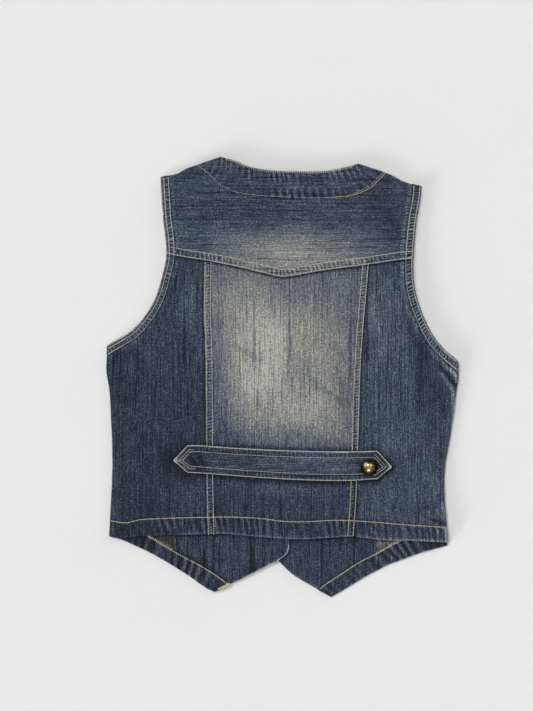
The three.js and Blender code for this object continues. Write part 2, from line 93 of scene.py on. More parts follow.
# The outline, seen from above. Each list runs in the order that its comment gives.
SHOULDER = {  # neck to armhole
    "left": [(-71, 253), (-97, 244), (-113, 238), (-121, 233.5), (-132, 231.5), (-140.3, 229.6)],
    "right": [
        (87, 245), (100, 240.8), (117, 235.2), (128, 230.5), (135, 226.5), (142, 223.5), (160, 219.5),
    ],
}
BACK_NECK = [  # left to right
    (-71, 253), (-54, 248), (-36, 241), (-9, 237), (20, 236), (48, 236.5), (71, 240.5), (87, 245),
]
ARMHOLE = {  # shoulder to underarm
    "left": [
        (-140.3, 229.6), (-139, 206), (-137, 178), (-134.5, 158), (-134, 137), (-137.5, 120),
        (-144.5, 95.5), (-151, 81.5), (-160, 68), (-172.5, 54), (-183, 47), (-202, 36),
    ],
    "right": [
        (160, 219.5), (158.6, 204), (154.4, 180.5), (152.5, 162), (151.2, 146), (150.5, 130), (151.5, 107),
        (155.5, 88.5), (163, 68), (174, 47), (185, 33.5), (192, 27), (202, 18.5),
    ],
}
SIDE = {  # underarm to hem
    "left": [
        (-202, 36), (-202.5, 8), (-199, -15), (-196.5, -61), (-195.5, -98), (-197, -141), (-199, -182.8),
    ],
    "right": [
        (202, 18.5), (202.5, 1), (200, -15), (197.3, -36), (192.4, -70), (187.4, -98), (186, -116),
        (186.8, -147), (190, -190),
    ],
}
YOKE_SEAM = [  # left to right
    (-134, 141), (-109, 136.5), (-84, 132.5), (-49.5, 125.5), (-17, 117.6), (-4, 114.7), (0, 114.2),
    (5, 114.6), (15, 116.2), (48, 122), (94, 128), (134.5, 134), (150, 135),
]
PRINCESS = {  # yoke to hem
    "left": [(-90.2, 132), (-90.6, 77), (-89, 31), (-88.4, -26), (-88, -118), (-86.5, -181)],
    "right": [
        (99.5, 130), (96, 88.5), (92, 42.5), (89.5, -3.5), (87.5, -72.5), (85, -141.5), (82, -183),
    ],
}
BACK_HEM = [  # left to right
    (-199, -182.8), (-190, -185), (-164.5, -183), (-130, -181.5), (-86.5, -180), (-66.5, -179.5),
    (-38, -182), (2, -185), (25, -185.5), (82, -183.5), (117, -187.5), (157.5, -188.5), (190, -190),
]
FRONT_EDGE = {"left": 7.5, "right": -20.0}
NECK_BOTTOM = 35.0
HEM_EDGE = {  # side to tip
    "left": [
        (-198.6, -183.2), (-184.5, -187), (-168, -194.5), (-153, -201.5), (-129, -215), (-107, -229),
        (-87.5, -242.5), (-78, -247),
    ],
    "right": [
        (189.5, -193.5), (172.5, -198), (158, -202.2), (140, -208.8), (119.5, -216.5), (107, -223.2),
        (94.5, -229.8), (72.5, -243.2), (56, -253),
    ],
}
POINT = {  # tip to the closing's lower corner
    "left": [
        (-78, -247), (-70, -243), (-55, -235.5), (-29, -222), (-16, -215.5), (-7, -212), (-2, -208.5),
        (3.5, -204.5), (6.5, -200), (7.5, -193),
    ],
    "right": [
        (56, -253), (48, -248.2), (35.5, -241.5), (15, -229), (6, -222), (-4.5, -211.5), (-13, -204),
        (-18.5, -198), (-20, -191),
    ],
}
HEM_STITCH = {  # side to point, where the turned hem ends on the inside
    "left": [
        (-197, -167), (-176, -172), (-155, -181.5), (-135.5, -193), (-112.5, -206), (-95.5, -215),
        (-78, -225.5), (-60, -238.5),
    ],
    "right": [
        (187.5, -174), (163, -178), (133.5, -188), (111.5, -200), (88.5, -211.5), (65.5, -226.5),
        (48, -238), (40, -244.5),
    ],
}
FACING_EDGE = {  # shoulder to hem
    "left": [(-106, 240), (-116, 100), (-122, -60), (-124, -199)],
    "right": [(119, 234), (118, 100), (114, -60), (108, -201)],
}

# The half belt: its top and bottom edge at the same stations, and its two points
BELT_X = (-109, -95, -72, -38, 0, 30, 60, 80, 109)
BELT_TOP = (-77.7, -77.7, -79.4, -81.4, -83.2, -84.1, -84.8, -84.8, -84.2)
BELT_BOTTOM = (-110, -110.5, -112.1, -114.6, -116.9, -118.5, -119.2, -119.2, -117.3)
BELT_TIP = {"left": (-125.5, -95.5), "right": (126, -103)}

# The largest folds of the back: middle x, y, direction in degrees, half length, half width, height
FOLDS = [
    (191, -5, -48, 17, 4.5, 1.6),
    (153, 14, 88, 62, 9, 1.1),
    (172, -20, 85, 60, 10, -0.7),
    (177, -158, -45, 15, 5, 1.1),
    (-186, 4, 75, 26, 7, 0.8),
    (-36, 19, -25, 16, 5, 0.7),
    (57, -22, -6, 20, 6, 0.7),
    (-150, -120, 70, 40, 12, 0.8),
]


# Lines and patches


def eased(t, a, b):
    """Rises smoothly from 0 at a to 1 at b, and the other way round where a is the larger."""
    s = np.clip((np.asarray(t, float) - a) / (b - a), 0, 1)
    return s * s * (3 - 2 * s)


def bell(distance, width):
    """Falls smoothly from 1 to 0 with the distance from a line."""
    return np.exp(-((distance / width) ** 2))


SPLINE_STEPS = 24  # between two points of a smooth line


def spline(points):
    """A smooth line through points, with its speed set by the root of the gap between them."""
    p = np.asarray(points, float)
    if len(p) == 2:
        return p
    p = np.vstack([2 * p[0] - p[1], p, 2 * p[-1] - p[-2]])
    gap = np.sqrt(np.maximum(np.hypot(*np.diff(p, axis=0).T), 1e-4))
    parts = []
    for i in range(1, len(p) - 2):
        d0, d1, d2 = gap[i - 1], gap[i], gap[i + 1]
        start = (p[i] - p[i - 1]) / d0 - (p[i + 1] - p[i - 1]) / (d0 + d1) + (p[i + 1] - p[i]) / d1
        end = (p[i + 1] - p[i]) / d1 - (p[i + 2] - p[i]) / (d1 + d2) + (p[i + 2] - p[i + 1]) / d2
        start, end = start * d1, end * d1
        t = np.linspace(0, 1, SPLINE_STEPS, endpoint=False)[:, None]
        square = -3 * p[i] + 3 * p[i + 1] - 2 * start - end
        cube = 2 * p[i] - 2 * p[i + 1] + start + end
        parts.append(p[i] + start * t + square * t**2 + cube * t**3)
    return np.vstack([*parts, p[-2:-1]])


def leftward(ways):
    """Directions turned by a quarter, to their left."""
    return np.stack([-ways[..., 1], ways[..., 0]], -1)


class Line:
    """A line on the vest. It is smooth along each run of points and may turn between two runs."""

    def __init__(self, *runs):
        parts = [spline(run) for run in runs]
        ends = np.cumsum([np.hypot(*np.diff(part, axis=0).T).sum() for part in parts])
        self.points = np.vstack([parts[0], *(part[1:] for part in parts[1:])])
        step = np.hypot(*np.diff(self.points, axis=0).T)
        self.reach = np.concatenate([[0], np.cumsum(step)])
        self.length = self.reach[-1]
        self.corners = list(ends[:-1] / ends[-1])

    def at(self, share):
        """The points at these shares of the length."""
        s = np.clip(share, 0, 1) * self.length
        return np.stack([np.interp(s, self.reach, self.points[:, i]) for i in (0, 1)], -1)

    def heading(self, share, step=0.004):
        """The directions in which the line runs there."""
        way = self.at(share + step) - self.at(share - step)
        return way / np.hypot(way[..., 0], way[..., 1])[..., None]

    def share_at(self, axis, value):
        """The share of the length at which the line first passes an X or a Y."""
        share = np.linspace(0, 1, 2001)
        beyond = np.sign(self.at(share)[:, axis] - value)
        passed = np.nonzero(beyond != beyond[0])[0]
        return share[passed[0]] if len(passed) else 1.0

    def stretch(self, start, end, count=24):
        """The points of a part of the line."""
        return self.at(np.linspace(start, end, count + 1))

    def moved(self, distance, count=32):
        """The line's points, moved sideways, to its left where the distance is positive."""
        share = np.linspace(0, 1, count + 1)
        return self.at(share) + leftward(self.heading(share, 0.5 / count)) * distance

    def beside(self, x, y, reach):
        """How far points lie to the left of the line, how far along it, and how far past its end.
        Points further away than reach may be given an infinite distance instead."""
        side = np.full(x.shape, np.inf)
        along = np.zeros(x.shape)
        past = np.zeros(x.shape)
        low, high = self.points.min(0) - reach, self.points.max(0) + reach
        near = (x > low[0]) & (x < high[0]) & (y > low[1]) & (y < high[1])
        if near.any():
            share = np.linspace(0, 1, max(8, int(self.length)))
            spots, ways = self.at(share), self.heading(share)
            dx = x[near][:, None] - spots[:, 0]
            dy = y[near][:, None] - spots[:, 1]
            pick = (dx * dx + dy * dy).argmin(1)
            row = np.arange(len(pick))
            dx, dy, way = dx[row, pick], dy[row, pick], ways[pick]
            side[near] = way[:, 0] * dy - way[:, 1] * dx
            ahead = way[:, 0] * dx + way[:, 1] * dy
            along[near] = share[pick] * self.length + ahead
            at_end = (pick == 0) | (pick == len(share) - 1)
            past[near] = np.where(at_end, np.abs(ahead), 0)
        return side, along, past


def carried_to(points, x):
    """Carries a list of points on, in a straight line, to an X."""
    (ax, ay), (bx, by) = points[-2], points[-1]
    kept = [p for p in points if abs(p[0]) < abs(x) - 1]
    return np.array([*kept, (x, by + (x - bx) * (by - ay) / (bx - ax))])


def patch(*edges):
    """A four-sided patch between a top, a bottom, a left and a right edge, as lines or as points.
    Its u runs along the top and its v down the sides."""
    top, bottom, left, right = (edge if isinstance(edge, Line) else Line(edge) for edge in edges)

    def spot(u, v):
        t, b, l, r = top.at(u), bottom.at(u), left.at(v), right.at(v)
        u, v = u[..., None], v[..., None]
        upper = (1 - u) * top.at(0.0) + u * top.at(1.0)
        lower = (1 - u) * bottom.at(0.0) + u * bottom.at(1.0)
        return (1 - v) * t + v * b + (1 - u) * l + u * r - (1 - v) * upper - v * lower

    return spot


def drift(s, step, seed):
    """A slow uneven change along a line, between -1 and 1, with a new value at each step."""
    values = np.random.default_rng(seed).uniform(-1, 1, 512)
    place = np.asarray(s, float) / step + 20
    low = np.floor(place).astype(int)
    t = eased(place - low, 0, 1)
    return values[low % 512] * (1 - t) + values[(low + 1) % 512] * t


def ripple(s, pitch, seed):
    """Uneven waves along a line, between -1 and 1: never quite one pitch apart, nor as high."""
    turn = 2 * math.pi * np.asarray(s, float) / pitch + 2.2 * drift(s, 1.7 * pitch, seed)
    return np.sin(turn) * (0.72 + 0.28 * drift(s, 2.3 * pitch, seed + 1))


def mottle(x, y, size_x, size_y, seed):
    """Soft uneven patches of a given size, between -1 and 1."""
    values = np.random.default_rng(seed).uniform(-1, 1, (64, 64))
    px, py = np.asarray(x) / size_x + 30.3, np.asarray(y) / size_y + 30.7
    ix, iy = np.floor(px).astype(int), np.floor(py).astype(int)
    tx, ty = eased(px - ix, 0, 1), eased(py - iy, 0, 1)
    near = values[ix % 64, iy % 64] * (1 - tx) + values[(ix + 1) % 64, iy % 64] * tx
    far = values[ix % 64, (iy + 1) % 64] * (1 - tx) + values[(ix + 1) % 64, (iy + 1) % 64] * tx
    return near * (1 - ty) + far * ty


# Heights of the layers


def looked_up(points, axis, value):
    """X of a side, or Y of a shoulder, looked up on its line."""
    line = Line(points)
    order = np.argsort(line.points[:, axis])
    return np.interp(value, line.points[order, axis], line.points[order, 1 - axis])


def from_fold(x, y):
    """How far points lie in from the nearest side seam or shoulder seam."""
    away = np.full(x.shape, np.inf)
    for which in SIDES:
        under_x, under_y = SIDE[which][0]
        neck_x, neck_y = SHOULDER[which][0]
        to_side = np.where(
            y < under_y,
            np.abs(looked_up(SIDE[which], 1, y) - x),
            np.hypot(under_x - x, under_y - y),
        )
        to_shoulder = np.where(
            np.abs(x) > abs(neck_x),
            np.abs(looked_up(SHOULDER[which], 0, x) - y) * SHOULDER_SLOPE,
            np.hypot(neck_x - x, neck_y - y),
        )
        here = (x < 0) == (which == "left")
        away = np.where(here, np.minimum(to_side, to_shoulder), away)
    return away


def folds_at(x, y):
    """The height of the largest folds."""
    height = np.zeros(x.shape)
    for fold_x, fold_y, angle, length, width, rise in FOLDS:
        a = math.radians(angle)
        along = ((x - fold_x) * math.cos(a) + (y - fold_y) * math.sin(a)) / length
        across = ((y - fold_y) * math.cos(a) - (x - fold_x) * math.sin(a)) / width
        height += rise * np.exp(-along * along - across * across)
    return height


def over_buttons(y):
    """How far the buttons hold up what lies on them, along the closing."""
    return BUTTON_LIFT * eased(y, -214, -172) * eased(y, 112, 34)


def right_front_under(x, y):
    """The right front is held up by the buttons, and comes down to the table beside them."""
    return over_buttons(y) * eased(x, 84, 4)


def left_front_under(x, y):
    """The left front lies over the right one and comes down to the table beside it."""
    lift = over_buttons(y) + OVERLAP_LIFT * eased(y, 150, 74)
    return lift * eased(x, -100, FRONT_EDGE["right"] - 6)


FRONT_UNDER = {"left": left_front_under, "right": right_front_under}


def back_under(x, y):
    """The back lies over both, and comes down to them at its sewn edges."""
    across = eased(x, -150, FRONT_EDGE["right"] - 4) * eased(x, 104, FRONT_EDGE["left"])
    lower = 1 - 0.5 * eased(y, -172, -214)
    hump = BACK_HUMP * across * lower * eased(y, 176, 70)
    uneven = 0.55 * mottle(x, y, 34, 46, 61) + 0.28 * mottle(x, y, 12, 19, 62)
    lay = BACK_HEIGHT + hump + np.maximum(-0.7, folds_at(x, y)) + np.maximum(-0.3, uneven)
    s = np.minimum(1, from_fold(x, y) / CURL)
    roundness = np.sqrt(1 - (1 - s) ** 2)
    facing = np.where(x < 0, *(abs(FACING_EDGE[which][0][0]) for which in SIDES))
    on_facing = eased(np.abs(x) - facing, 22, 4) * eased(y, 150, 190)
    on_hem_turn = eased(y, -138, -162)
    seat = SEAM_HEIGHT + (BACK_HEIGHT - SEAM_HEIGHT) * np.maximum(on_facing, on_hem_turn)
    return seat + (lay - seat) * roundness


def back_band_under(x, y):
    """The bands of the back lie on those of the fronts."""
    return np.maximum(back_under(x, y), BAND_THICKNESS + SEAM_GAP)


# Sewn lines


def armhole_edges(which):
    """The front band's edge, the back band's edge and the seam of both, as points."""
    line, end = Line(ARMHOLE[which]), ARMHOLE[which][-1][0]
    return {
        "front": line.moved(0),
        "back": carried_to(line.moved(INWARD[which] * BAND_INSET), end),
        "seam": carried_to(line.moved(INWARD[which] * BAND_WIDTH), end),
    }


ARMHOLES = {which: armhole_edges(which) for which in SIDES}
SHOULDERS = {which: Line(SHOULDER[which]) for which in SIDES}
ROW_END = 0.993  # the armholes' rows end just before the side seam

HEM_ROW = [  # left to right
    (-197.2, -165), (-180, -167.3), (-163.9, -163.9), (-146.6, -162.7), (-100.6, -161),
    (-54.6, -160.2), (-20.1, -162.2), (-2.9, -164.6), (25.9, -165.5), (60.4, -164.1),
    (100.6, -166.2), (146.6, -170), (186.9, -172.4),
]
NECK_ROW = [  # left shoulder to its corner, then on to the right shoulder
    [(-98.3, 243.8), (-89.1, 236.9), (-79.9, 228.9), (-70.7, 219.7)],
    [
        (-70.7, 219.7), (-65, 217.4), (-54.6, 212.8), (-43.1, 210.5), (-23.6, 208.2), (-2.9, 207),
        (20.1, 205.9), (48.9, 205.9), (69.6, 207), (77.6, 209.3), (89.1, 213.9), (98.3, 218.5),
        (106.4, 225.4), (116.7, 235.8),
    ],
]
NECK_ROW_AGAIN = [  # sewn twice, on the right
    (60, 206.9), (77.6, 207.9), (91.4, 212.6), (101.8, 218), (109.8, 225.6), (119, 235),
]


def rows_of(points, *distances, end=None):
    """Stitch rows beside a seam, to its left where the distance is positive, carried on to an X
    where one is given."""
    rows = [Line(points).moved(distance, 48) for distance in distances]
    return [Line(row if end is None else carried_to(row, end)) for row in rows]


def armhole_rows(which, *distances):
    """Stitch rows beside an armhole's edge, carried on to the side seam."""
    points, sign = ARMHOLE[which], INWARD[which]
    return rows_of(points, *(sign * d for d in distances), end=ROW_END * points[-1][0])


ROWS = {
    "yoke": rows_of(YOKE_SEAM, 1.3, 8.9),
    "princess_left": rows_of(PRINCESS["left"], 1.7, 8.0),
    "princess_right": rows_of(PRINCESS["right"], -1.1, -7.2),
    "hem": [Line(HEM_ROW)],
    "neck": [Line(*NECK_ROW)],
    "neck_again": [Line(NECK_ROW_AGAIN)],
    "armhole_left": armhole_rows("left", 3.9, 9.3),
    "armhole_right": armhole_rows("right", 2.2, 9.0),
    "front_hem_left": rows_of(HEM_STITCH["left"], -1.3),
    "front_hem_right": rows_of(HEM_STITCH["right"], 1.3),
}
BELT_EDGES = {"top": [*zip(BELT_X, BELT_TOP)], "bottom": [*zip(BELT_X, BELT_BOTTOM)]}

# Puckers: line, how far they reach to its left and to its right, pitch, height, how much paler
# their tops are than their hollows, how much paler they are in all, seed
PUCKERS = {
    "back": [
        (*rows_of(YOKE_SEAM, 5.1), 4.4, 4.2, 4.8, 0.4, 0.3, -0.03, 3),
        (*rows_of(PRINCESS["left"], 4.8), 3.6, 3.4, 3.7, 0.36, 0.28, 0.0, 4),
        (*rows_of(PRINCESS["right"], -4.2), 3.6, 3.4, 3.7, 0.36, 0.28, 0.0, 5),
        (ROWS["hem"][0], 4.0, 21.0, 7.8, 0.7, 0.3, -0.01, 6),
        (ROWS["neck"][0], 12.0, 2.0, 8.2, 0.6, 0.24, -0.03, 7),
        (Line(BACK_NECK), 0.5, 15.0, 6.6, 0.6, 0.24, 0.0, 14),
        (ROWS["armhole_left"][1], 5.5, 0.5, 3.7, 0.25, 0.16, 0.14, 8),
        (ROWS["armhole_right"][1], 0.5, 7.5, 3.6, 0.35, 0.34, 0.17, 9),
    ],
    "band": [
        (*armhole_rows("left", 6.6), 3.3, 3.3, 4.4, 0.35, 0.3, 0.05, 10),
        (*armhole_rows("right", 5.6), 3.3, 3.3, 3.6, 0.45, 0.5, 0.03, 11),
    ],
    "hem_turn": [
        (ROWS["front_hem_left"][0], 3.0, 26.0, 9.5, 0.8, 0.28, -0.07, 12),
        (ROWS["front_hem_right"][0], 26.0, 3.0, 9.5, 0.8, 0.32, -0.02, 13),
    ],
    "belt": [
        (*rows_of(BELT_EDGES["top"], -BELT_PUCKER_ROW), 3.8, 3.8, 4.2, 0.2, 0.2, -0.05, 15),
        (*rows_of(BELT_EDGES["bottom"], BELT_PUCKER_ROW), 3.8, 3.8, 4.2, 0.2, 0.2, -0.05, 16),
    ],
}
# Rows whose stitches pull a groove into the cloth
GROOVES = {
    "back": ("yoke", "princess_left", "princess_right", "hem", "neck", "neck_again"),
    "band": ("armhole_left", "armhole_right"),
    "hem_turn": ("front_hem_left", "front_hem_right"),
}
GROOVE_DEPTH = 0.3
GROOVE_WIDTH = 1.1
# Seam edges: line, which side is the upper one, how dark the painted shade in the crease beside it is, how
# wide
LAPS = {
    "back": [
        (Line(YOKE_SEAM), 1, 0.95, 1.9),
        (Line(PRINCESS["left"]), 1, 0.7, 1.9),
        (Line(PRINCESS["right"]), -1, 0.7, 1.9),
        (Line(ARMHOLES["left"]["seam"]), -1, 0.75, 1.5),
        (Line(ARMHOLES["right"]["seam"]), 1, 0.6, 1.5),
        (Line(HEM_ROW), -1, 0.3, 3.0),
    ],
    "band": [(Line(YOKE_SEAM), 1, 0.9, 2.0)],
    "front": [
        (Line(HEM_STITCH["left"]), -1, 0.95, 2.4),
        (Line(HEM_STITCH["right"]), 1, 0.8, 1.6),
        (Line(BACK_HEM), 1, 0.9, 1.5),
        (Line(POINT["left"][4:], [POINT["left"][-1], (FRONT_EDGE["left"], -150)]), 1, 0.9, 2.2),
    ],
}
# Folds and scuffs: points, how much paler, how wide, how high. Paler fold ridges are painted light and
# darker fold hollows painted shade; the scuffs are wear.
MARKS = {
    "back": [
        ([(159, 52), (158, 10), (157, -40)], -0.12, 3.8, -0.5),  # below the right armhole
        ([(153.5, 64), (154, 32), (153, 5)], 0.1, 1.5, 0.3),
        ([(182, 4), (191.5, -9), (197, -20), (197, -44)], 0.24, 2.2, 0.6),
        ([(191, 9), (199.5, 0.5), (201.5, -6)], 0.24, 1.6, 0.6),
        ([(183, 9), (192, -1), (199.5, -12)], -0.26, 1.9, -0.8),
        ([(180, -14), (184, -40)], -0.07, 4.5, -0.2),
        ([(188, 17), (200, 7)], -0.2, 1.3, -0.4),
        ([(170, -163), (178.8, -166), (188, -169.5)], -0.32, 1.7, -0.7),  # at the hem's right end
        ([(167.5, -155), (170.5, -162.5)], 0.13, 1.3, 0.3),
        ([(177.5, -152), (182, -162)], 0.13, 1.5, 0.3),
        ([(184.5, -146), (186.5, -161)], 0.12, 1.6, 0.3),
        ([(184.5, -172), (189, -174)], 0.2, 1.8, 0.2),
        ([(187.6, -176), (188.6, -188)], 0.34, 1.1, 0.2),
        ([(110, -186), (150, -187), (189, -188.6)], 0.12, 1.4, 0.0),
        ([(-54, 36), (-37, 26.5), (-19, 16)], -0.11, 3.0, -0.3),  # across the centre panel
        ([(41, -11.5), (55, -18.5), (66, -27.5)], -0.11, 3.0, -0.3),
        ([(59, 32), (72, 18)], -0.08, 2.6, -0.3),
        ([(114, 198), (124, 183), (132, 164)], -0.07, 6.0, -0.3),  # on the yoke's right side
        ([(-40, 223), (-6, 218), (24, 219)], 0.07, 1.4, 0.2),  # on the neck facing
        ([(48, 225), (66, 219), (84, 222)], 0.08, 1.3, 0.2),
    ],
    "front": [
        (POINT["left"][4:], 0.3, 1.6, 0.0),
        ([(-40, -226), (-14, -212)], -0.06, 6.0, 0.0),
        ([(-100, -186), (-92, -212)], -0.07, 4.0, 0.0),
    ],
    "belt": [
        ([(-108, -88), (-96, -106)], -0.2, 2.6, -0.4),  # creases at the left end, with painted shade in them
        ([(-100, -82), (-88, -104)], -0.16, 2.2, -0.4),
        ([(40, -107), (72, -106)], 0.08, 1.6, 0.1),
        ([(44, -96), (70, -97)], 0.07, 1.2, 0.1),
        ([(56, -113), (60, -104)], 0.12, 1.6, 0.2),
        ([(86, -111), (92, -105)], -0.16, 2.0, -0.2),
    ],
}
# Painted shadow round the belt, on the back: run of its edge, how dark the shadow beside it is, how wide
BELT_SHADOWS = [
    ([BELT_TIP["left"], BELT_EDGES["top"][0]], 0.7, 5.0),
    (BELT_EDGES["top"], 0.55, 3.4),
    ([BELT_EDGES["top"][-1], BELT_TIP["right"]], 0.5, 3.0),
    ([BELT_TIP["left"], BELT_EDGES["bottom"][0]], 0.92, 10.0),
    (BELT_EDGES["bottom"], 0.95, 4.4),
    ([BELT_EDGES["bottom"][-1], BELT_TIP["right"]], 0.6, 3.0),
]


def sewn(kind, x, y):
    """What sewing does to a surface: its height, how much paler it is, with painted light and shade on its
    folds, and how dark the shade painted into its creases and round the belt.
    """
    height, tone, painted_shade = np.zeros((3, *x.shape))
    for line, left, right, pitch, rise, paler, mean, seed in PUCKERS.get(kind, ()):
        side, along, past = line.beside(x, y, max(left, right) + 2)
        span = np.where(side > 0, side / left, -side / right)
        window = np.clip(1 - np.minimum(span, 9) ** 2, 0, 1) * (past < 3)
        slant = np.where(np.isfinite(side), side, 0) * 0.22
        wave = ripple(along + slant, pitch, seed) + 0.35 * ripple(along - slant, pitch * 0.43, seed + 50)
        wave *= np.clip(0.65 + 0.7 * drift(along, 2.6 * pitch, seed + 90), 0.25, 1.1)
        height += rise * window * wave
        tone += np.sqrt(window) * (paler * np.tanh(1.5 * wave) + mean)
    for line in (row for name in GROOVES.get(kind, ()) for row in ROWS[name]):
        side, _, past = line.beside(x, y, 4)
        height -= GROOVE_DEPTH * bell(side, GROOVE_WIDTH) * (past < 2)
    for line, upper, dark, width in LAPS.get(kind, ()):
        side, along, past = line.beside(x, y, 9)
        side = side * upper
        edge = bell(side, 0.9) * (side > 0) * (1 + 0.6 * drift(along, 4, 71))
        tone += 0.16 * edge * (past < 2)
        # painted shade in the crease beside a lap's edge
        painted_shade = np.maximum(painted_shade, dark * bell(side, width) * (side < 0) * (past < 2))
    for points, paler, width, rise in MARKS.get(kind, ()):
        side, _, past = Line(points).beside(x, y, 3 * width)
        mark = bell(np.hypot(side, past), width)
        height += rise * mark
        # painted light on fold ridges, painted shade in fold hollows, and pale scuffs
        tone += paler * mark
    # painted shadow that the belt casts on the back
    for points, dark, width in BELT_SHADOWS if kind == "back" else ():
        side, _, past = Line(points).beside(x, y, 20)
        painted_shade = np.maximum(painted_shade, dark * bell(np.hypot(side, past), width))
    return height, tone, painted_shade


# Wear: how pale a panel is, and then its worn places: x, y, half width, half height, how flat
# the middle is (2 is soft, 4 is flat), how much paler the middle is. The darker places round the
# belt's points and round its button are painted shadow.
WEAR_AND_SHADE = {
    "yoke": (0.368, [
        (18, 138, 95, 30, 4, 0.2),
        (18, 134, 80, 22, 2, 0.13),
        (5, 162, 34, 14, 2, 0.06),
        (84, 208, 28, 20, 2, -0.08),
        (84, 176, 24, 18, 2, -0.06),
        (-5, 140, 42, 26, 2, 0.09),
        (-104, 160, 34, 44, 2, 0.04),
    ]),
    "centre": (0.3, [
        (0, 33, 112, 108, 4, 0.32),
        (-10, 15, 50, 75, 2, 0.2),
        (40, -44, 38, 28, 2, 0.16),
        (-28, -52, 30, 20, 2, 0.08),
        (-46, 78, 34, 42, 2, 0.12),
        (54, 24, 28, 42, 2, 0.1),
        (-40, -10, 22, 26, 2, 0.06),
        (-12, 45, 18, 26, 2, 0.04),
        (-5, 22, 42, 62, 2, 0.07),
        (64, -66, 24, 20, 2, 0.14),
        (0, 120, 84, 12, 2, 0.06),
        (0, -128, 80, 10, 2, 0.05),
        (18, 8, 15, 24, 2, -0.12),
        (16, 98, 24, 22, 2, -0.09),
        (-78, -12, 20, 62, 4, -0.07),
        (-56, -55, 12, 28, 2, -0.04),
        (-82, 88, 11, 20, 2, 0.08),
        (24, -38, 24, 15, 2, 0.05),
        (-38, -12, 15, 20, 2, 0.04),
        (76, -32, 14, 20, 2, -0.05),
        (-4, 42, 14, 20, 2, 0.02),
    ]),
    "side_left": (0.33, [
        (-104, 70, 12, 60, 2, 0.04),
        (-138, -52, 24, 44, 2, 0.02),
        (-160, -150, 40, 14, 2, -0.05),
        # painted shadow round the belt's left point
        (-112, -88, 22, 20, 2, -0.12),
    ]),
    "side_right": (0.37, [
        (108, 80, 14, 42, 2, 0.1),
        (146, 98, 12, 34, 2, -0.06),
        (146, -62, 12, 36, 2, 0.04),
        (124, 0, 30, 110, 4, 0.03),
        (160, 45, 18, 46, 2, -0.1),
        (172, -12, 14, 55, 2, -0.08),
        # painted shadow round the belt's right point
        (118, -103, 18, 12, 2, -0.1),
        (174, -145, 24, 46, 2, 0.07),
        (140, -180, 60, 12, 2, 0.07),
    ]),
    "band": (0.38, [(-170, 60, 30, 30, 2, -0.03)]),
    "belt": (0.335, [
        (30, -100, 60, 30, 2, 0.03),
        (-100, -95, 16, 10, 2, -0.08),
        (112, -102, 13, 14, 2, -0.2),
        # painted shadow round the button
        (99, -103.5, 12.5, 12.5, 4, -0.16),
        (-96, -97, 9, 8, 2, -0.1),
        (20, -100, 140, 7, 4, 0.03),
        (-123.5, -95.5, 4, 4, 2, 0.7),
        (124, -103, 4, 4, 2, 0.7),
    ]),
}
HEM_TONE = (0.28, 0.24, 2.3)  # the turned hem, how much paler its lower edge is, as a painted highlight on the rolled fold, how wide that is
SIDE_STRIP = (0.06, 4.0, 2.4)  # beside a side seam: how much paler, how far in, how wide
LEFT_SIDE = (0.06, -100, -130)  # the left side panel: how much darker, from which X to which
# the dark tone that painted shade in creases and round the belt pulls the colour to
PAINTED_SHADE_TONE = 0.02


def fade_at(x, y, panel):
    """How far the dye is worn away, from 0, raw, to 1, palest, with painted shadow round the belt and a
    painted highlight along the back hem's lower edge.
    """
    base, places = WEAR_AND_SHADE[panel]
    worn = np.full(x.shape, base)
    for place_x, place_y, half_x, half_y, power, paler in places:
        away = np.abs((x - place_x) / half_x) ** power + np.abs((y - place_y) / half_y) ** power
        worn += paler * np.exp(-away)
    worn += 0.035 * mottle(x, y, 46, 60, 21) + 0.03 * mottle(x, y, 17, 26, 22)
    if panel in ("centre", "side_left", "side_right"):
        hem, edge, edge_width = HEM_TONE
        above = np.maximum(y - looked_up(BACK_HEM, 0, x), 0)
        # the paler lower edge of the hem is a painted highlight on its rolled fold
        worn += (hem - base) * on_hem(x, y) + edge * eased(x, -130, -105) * bell(above, edge_width)
        darker, start, end = LEFT_SIDE
        paler, inside, strip_width = SIDE_STRIP
        worn += paler * bell(from_fold(x, y) - inside, strip_width) - darker * eased(x, start, end)
    return worn


# Making a cloth piece

EDGE_ROUNDNESS = 0.4  # radius of a piece's edges, as a share of its thickness


def spaced(length, pitch, *fixed):
    """Shares of a length, in millimetres, for the rows of a grid: close at both ends, then even,
    with some fixed."""
    rim = np.array([0.35, 0.9]) / length
    even = np.linspace(0, 1, max(3, round(length / pitch)) + 1)
    marks = np.array([0, *rim, *(1 - rim), 1, *fixed])
    clear = [s for s in even if np.abs(marks - s).min() > 0.45 * pitch / length]
    return np.unique(np.concatenate([marks, clear]))


def closer(length, start, end, pitch):
    """Shares of a length for rows that lie closer together, between two distances from its start."""
    return np.arange(start, end, 0.55 * pitch) / length


def rim_distance(spots):
    """How far each point of a grid lies from the grid's edge, along its rows and columns."""
    along = np.hypot(*np.moveaxis(np.diff(spots, axis=1), -1, 0))
    down = np.hypot(*np.moveaxis(np.diff(spots, axis=0), -1, 0))
    left = np.concatenate([np.zeros((len(spots), 1)), np.cumsum(along, 1)], 1)
    top = np.concatenate([np.zeros((1, spots.shape[1])), np.cumsum(down, 0)], 0)
    return np.minimum(np.minimum(left, left[:, -1:] - left), np.minimum(top, top[-1:] - top))


def straight_grain(x, y, u, v):
    """The warp runs from the neck to the hem."""
    return x, y


def cross_grain(x, y, u, v):
    """The warp runs from side to side."""
    return y, x


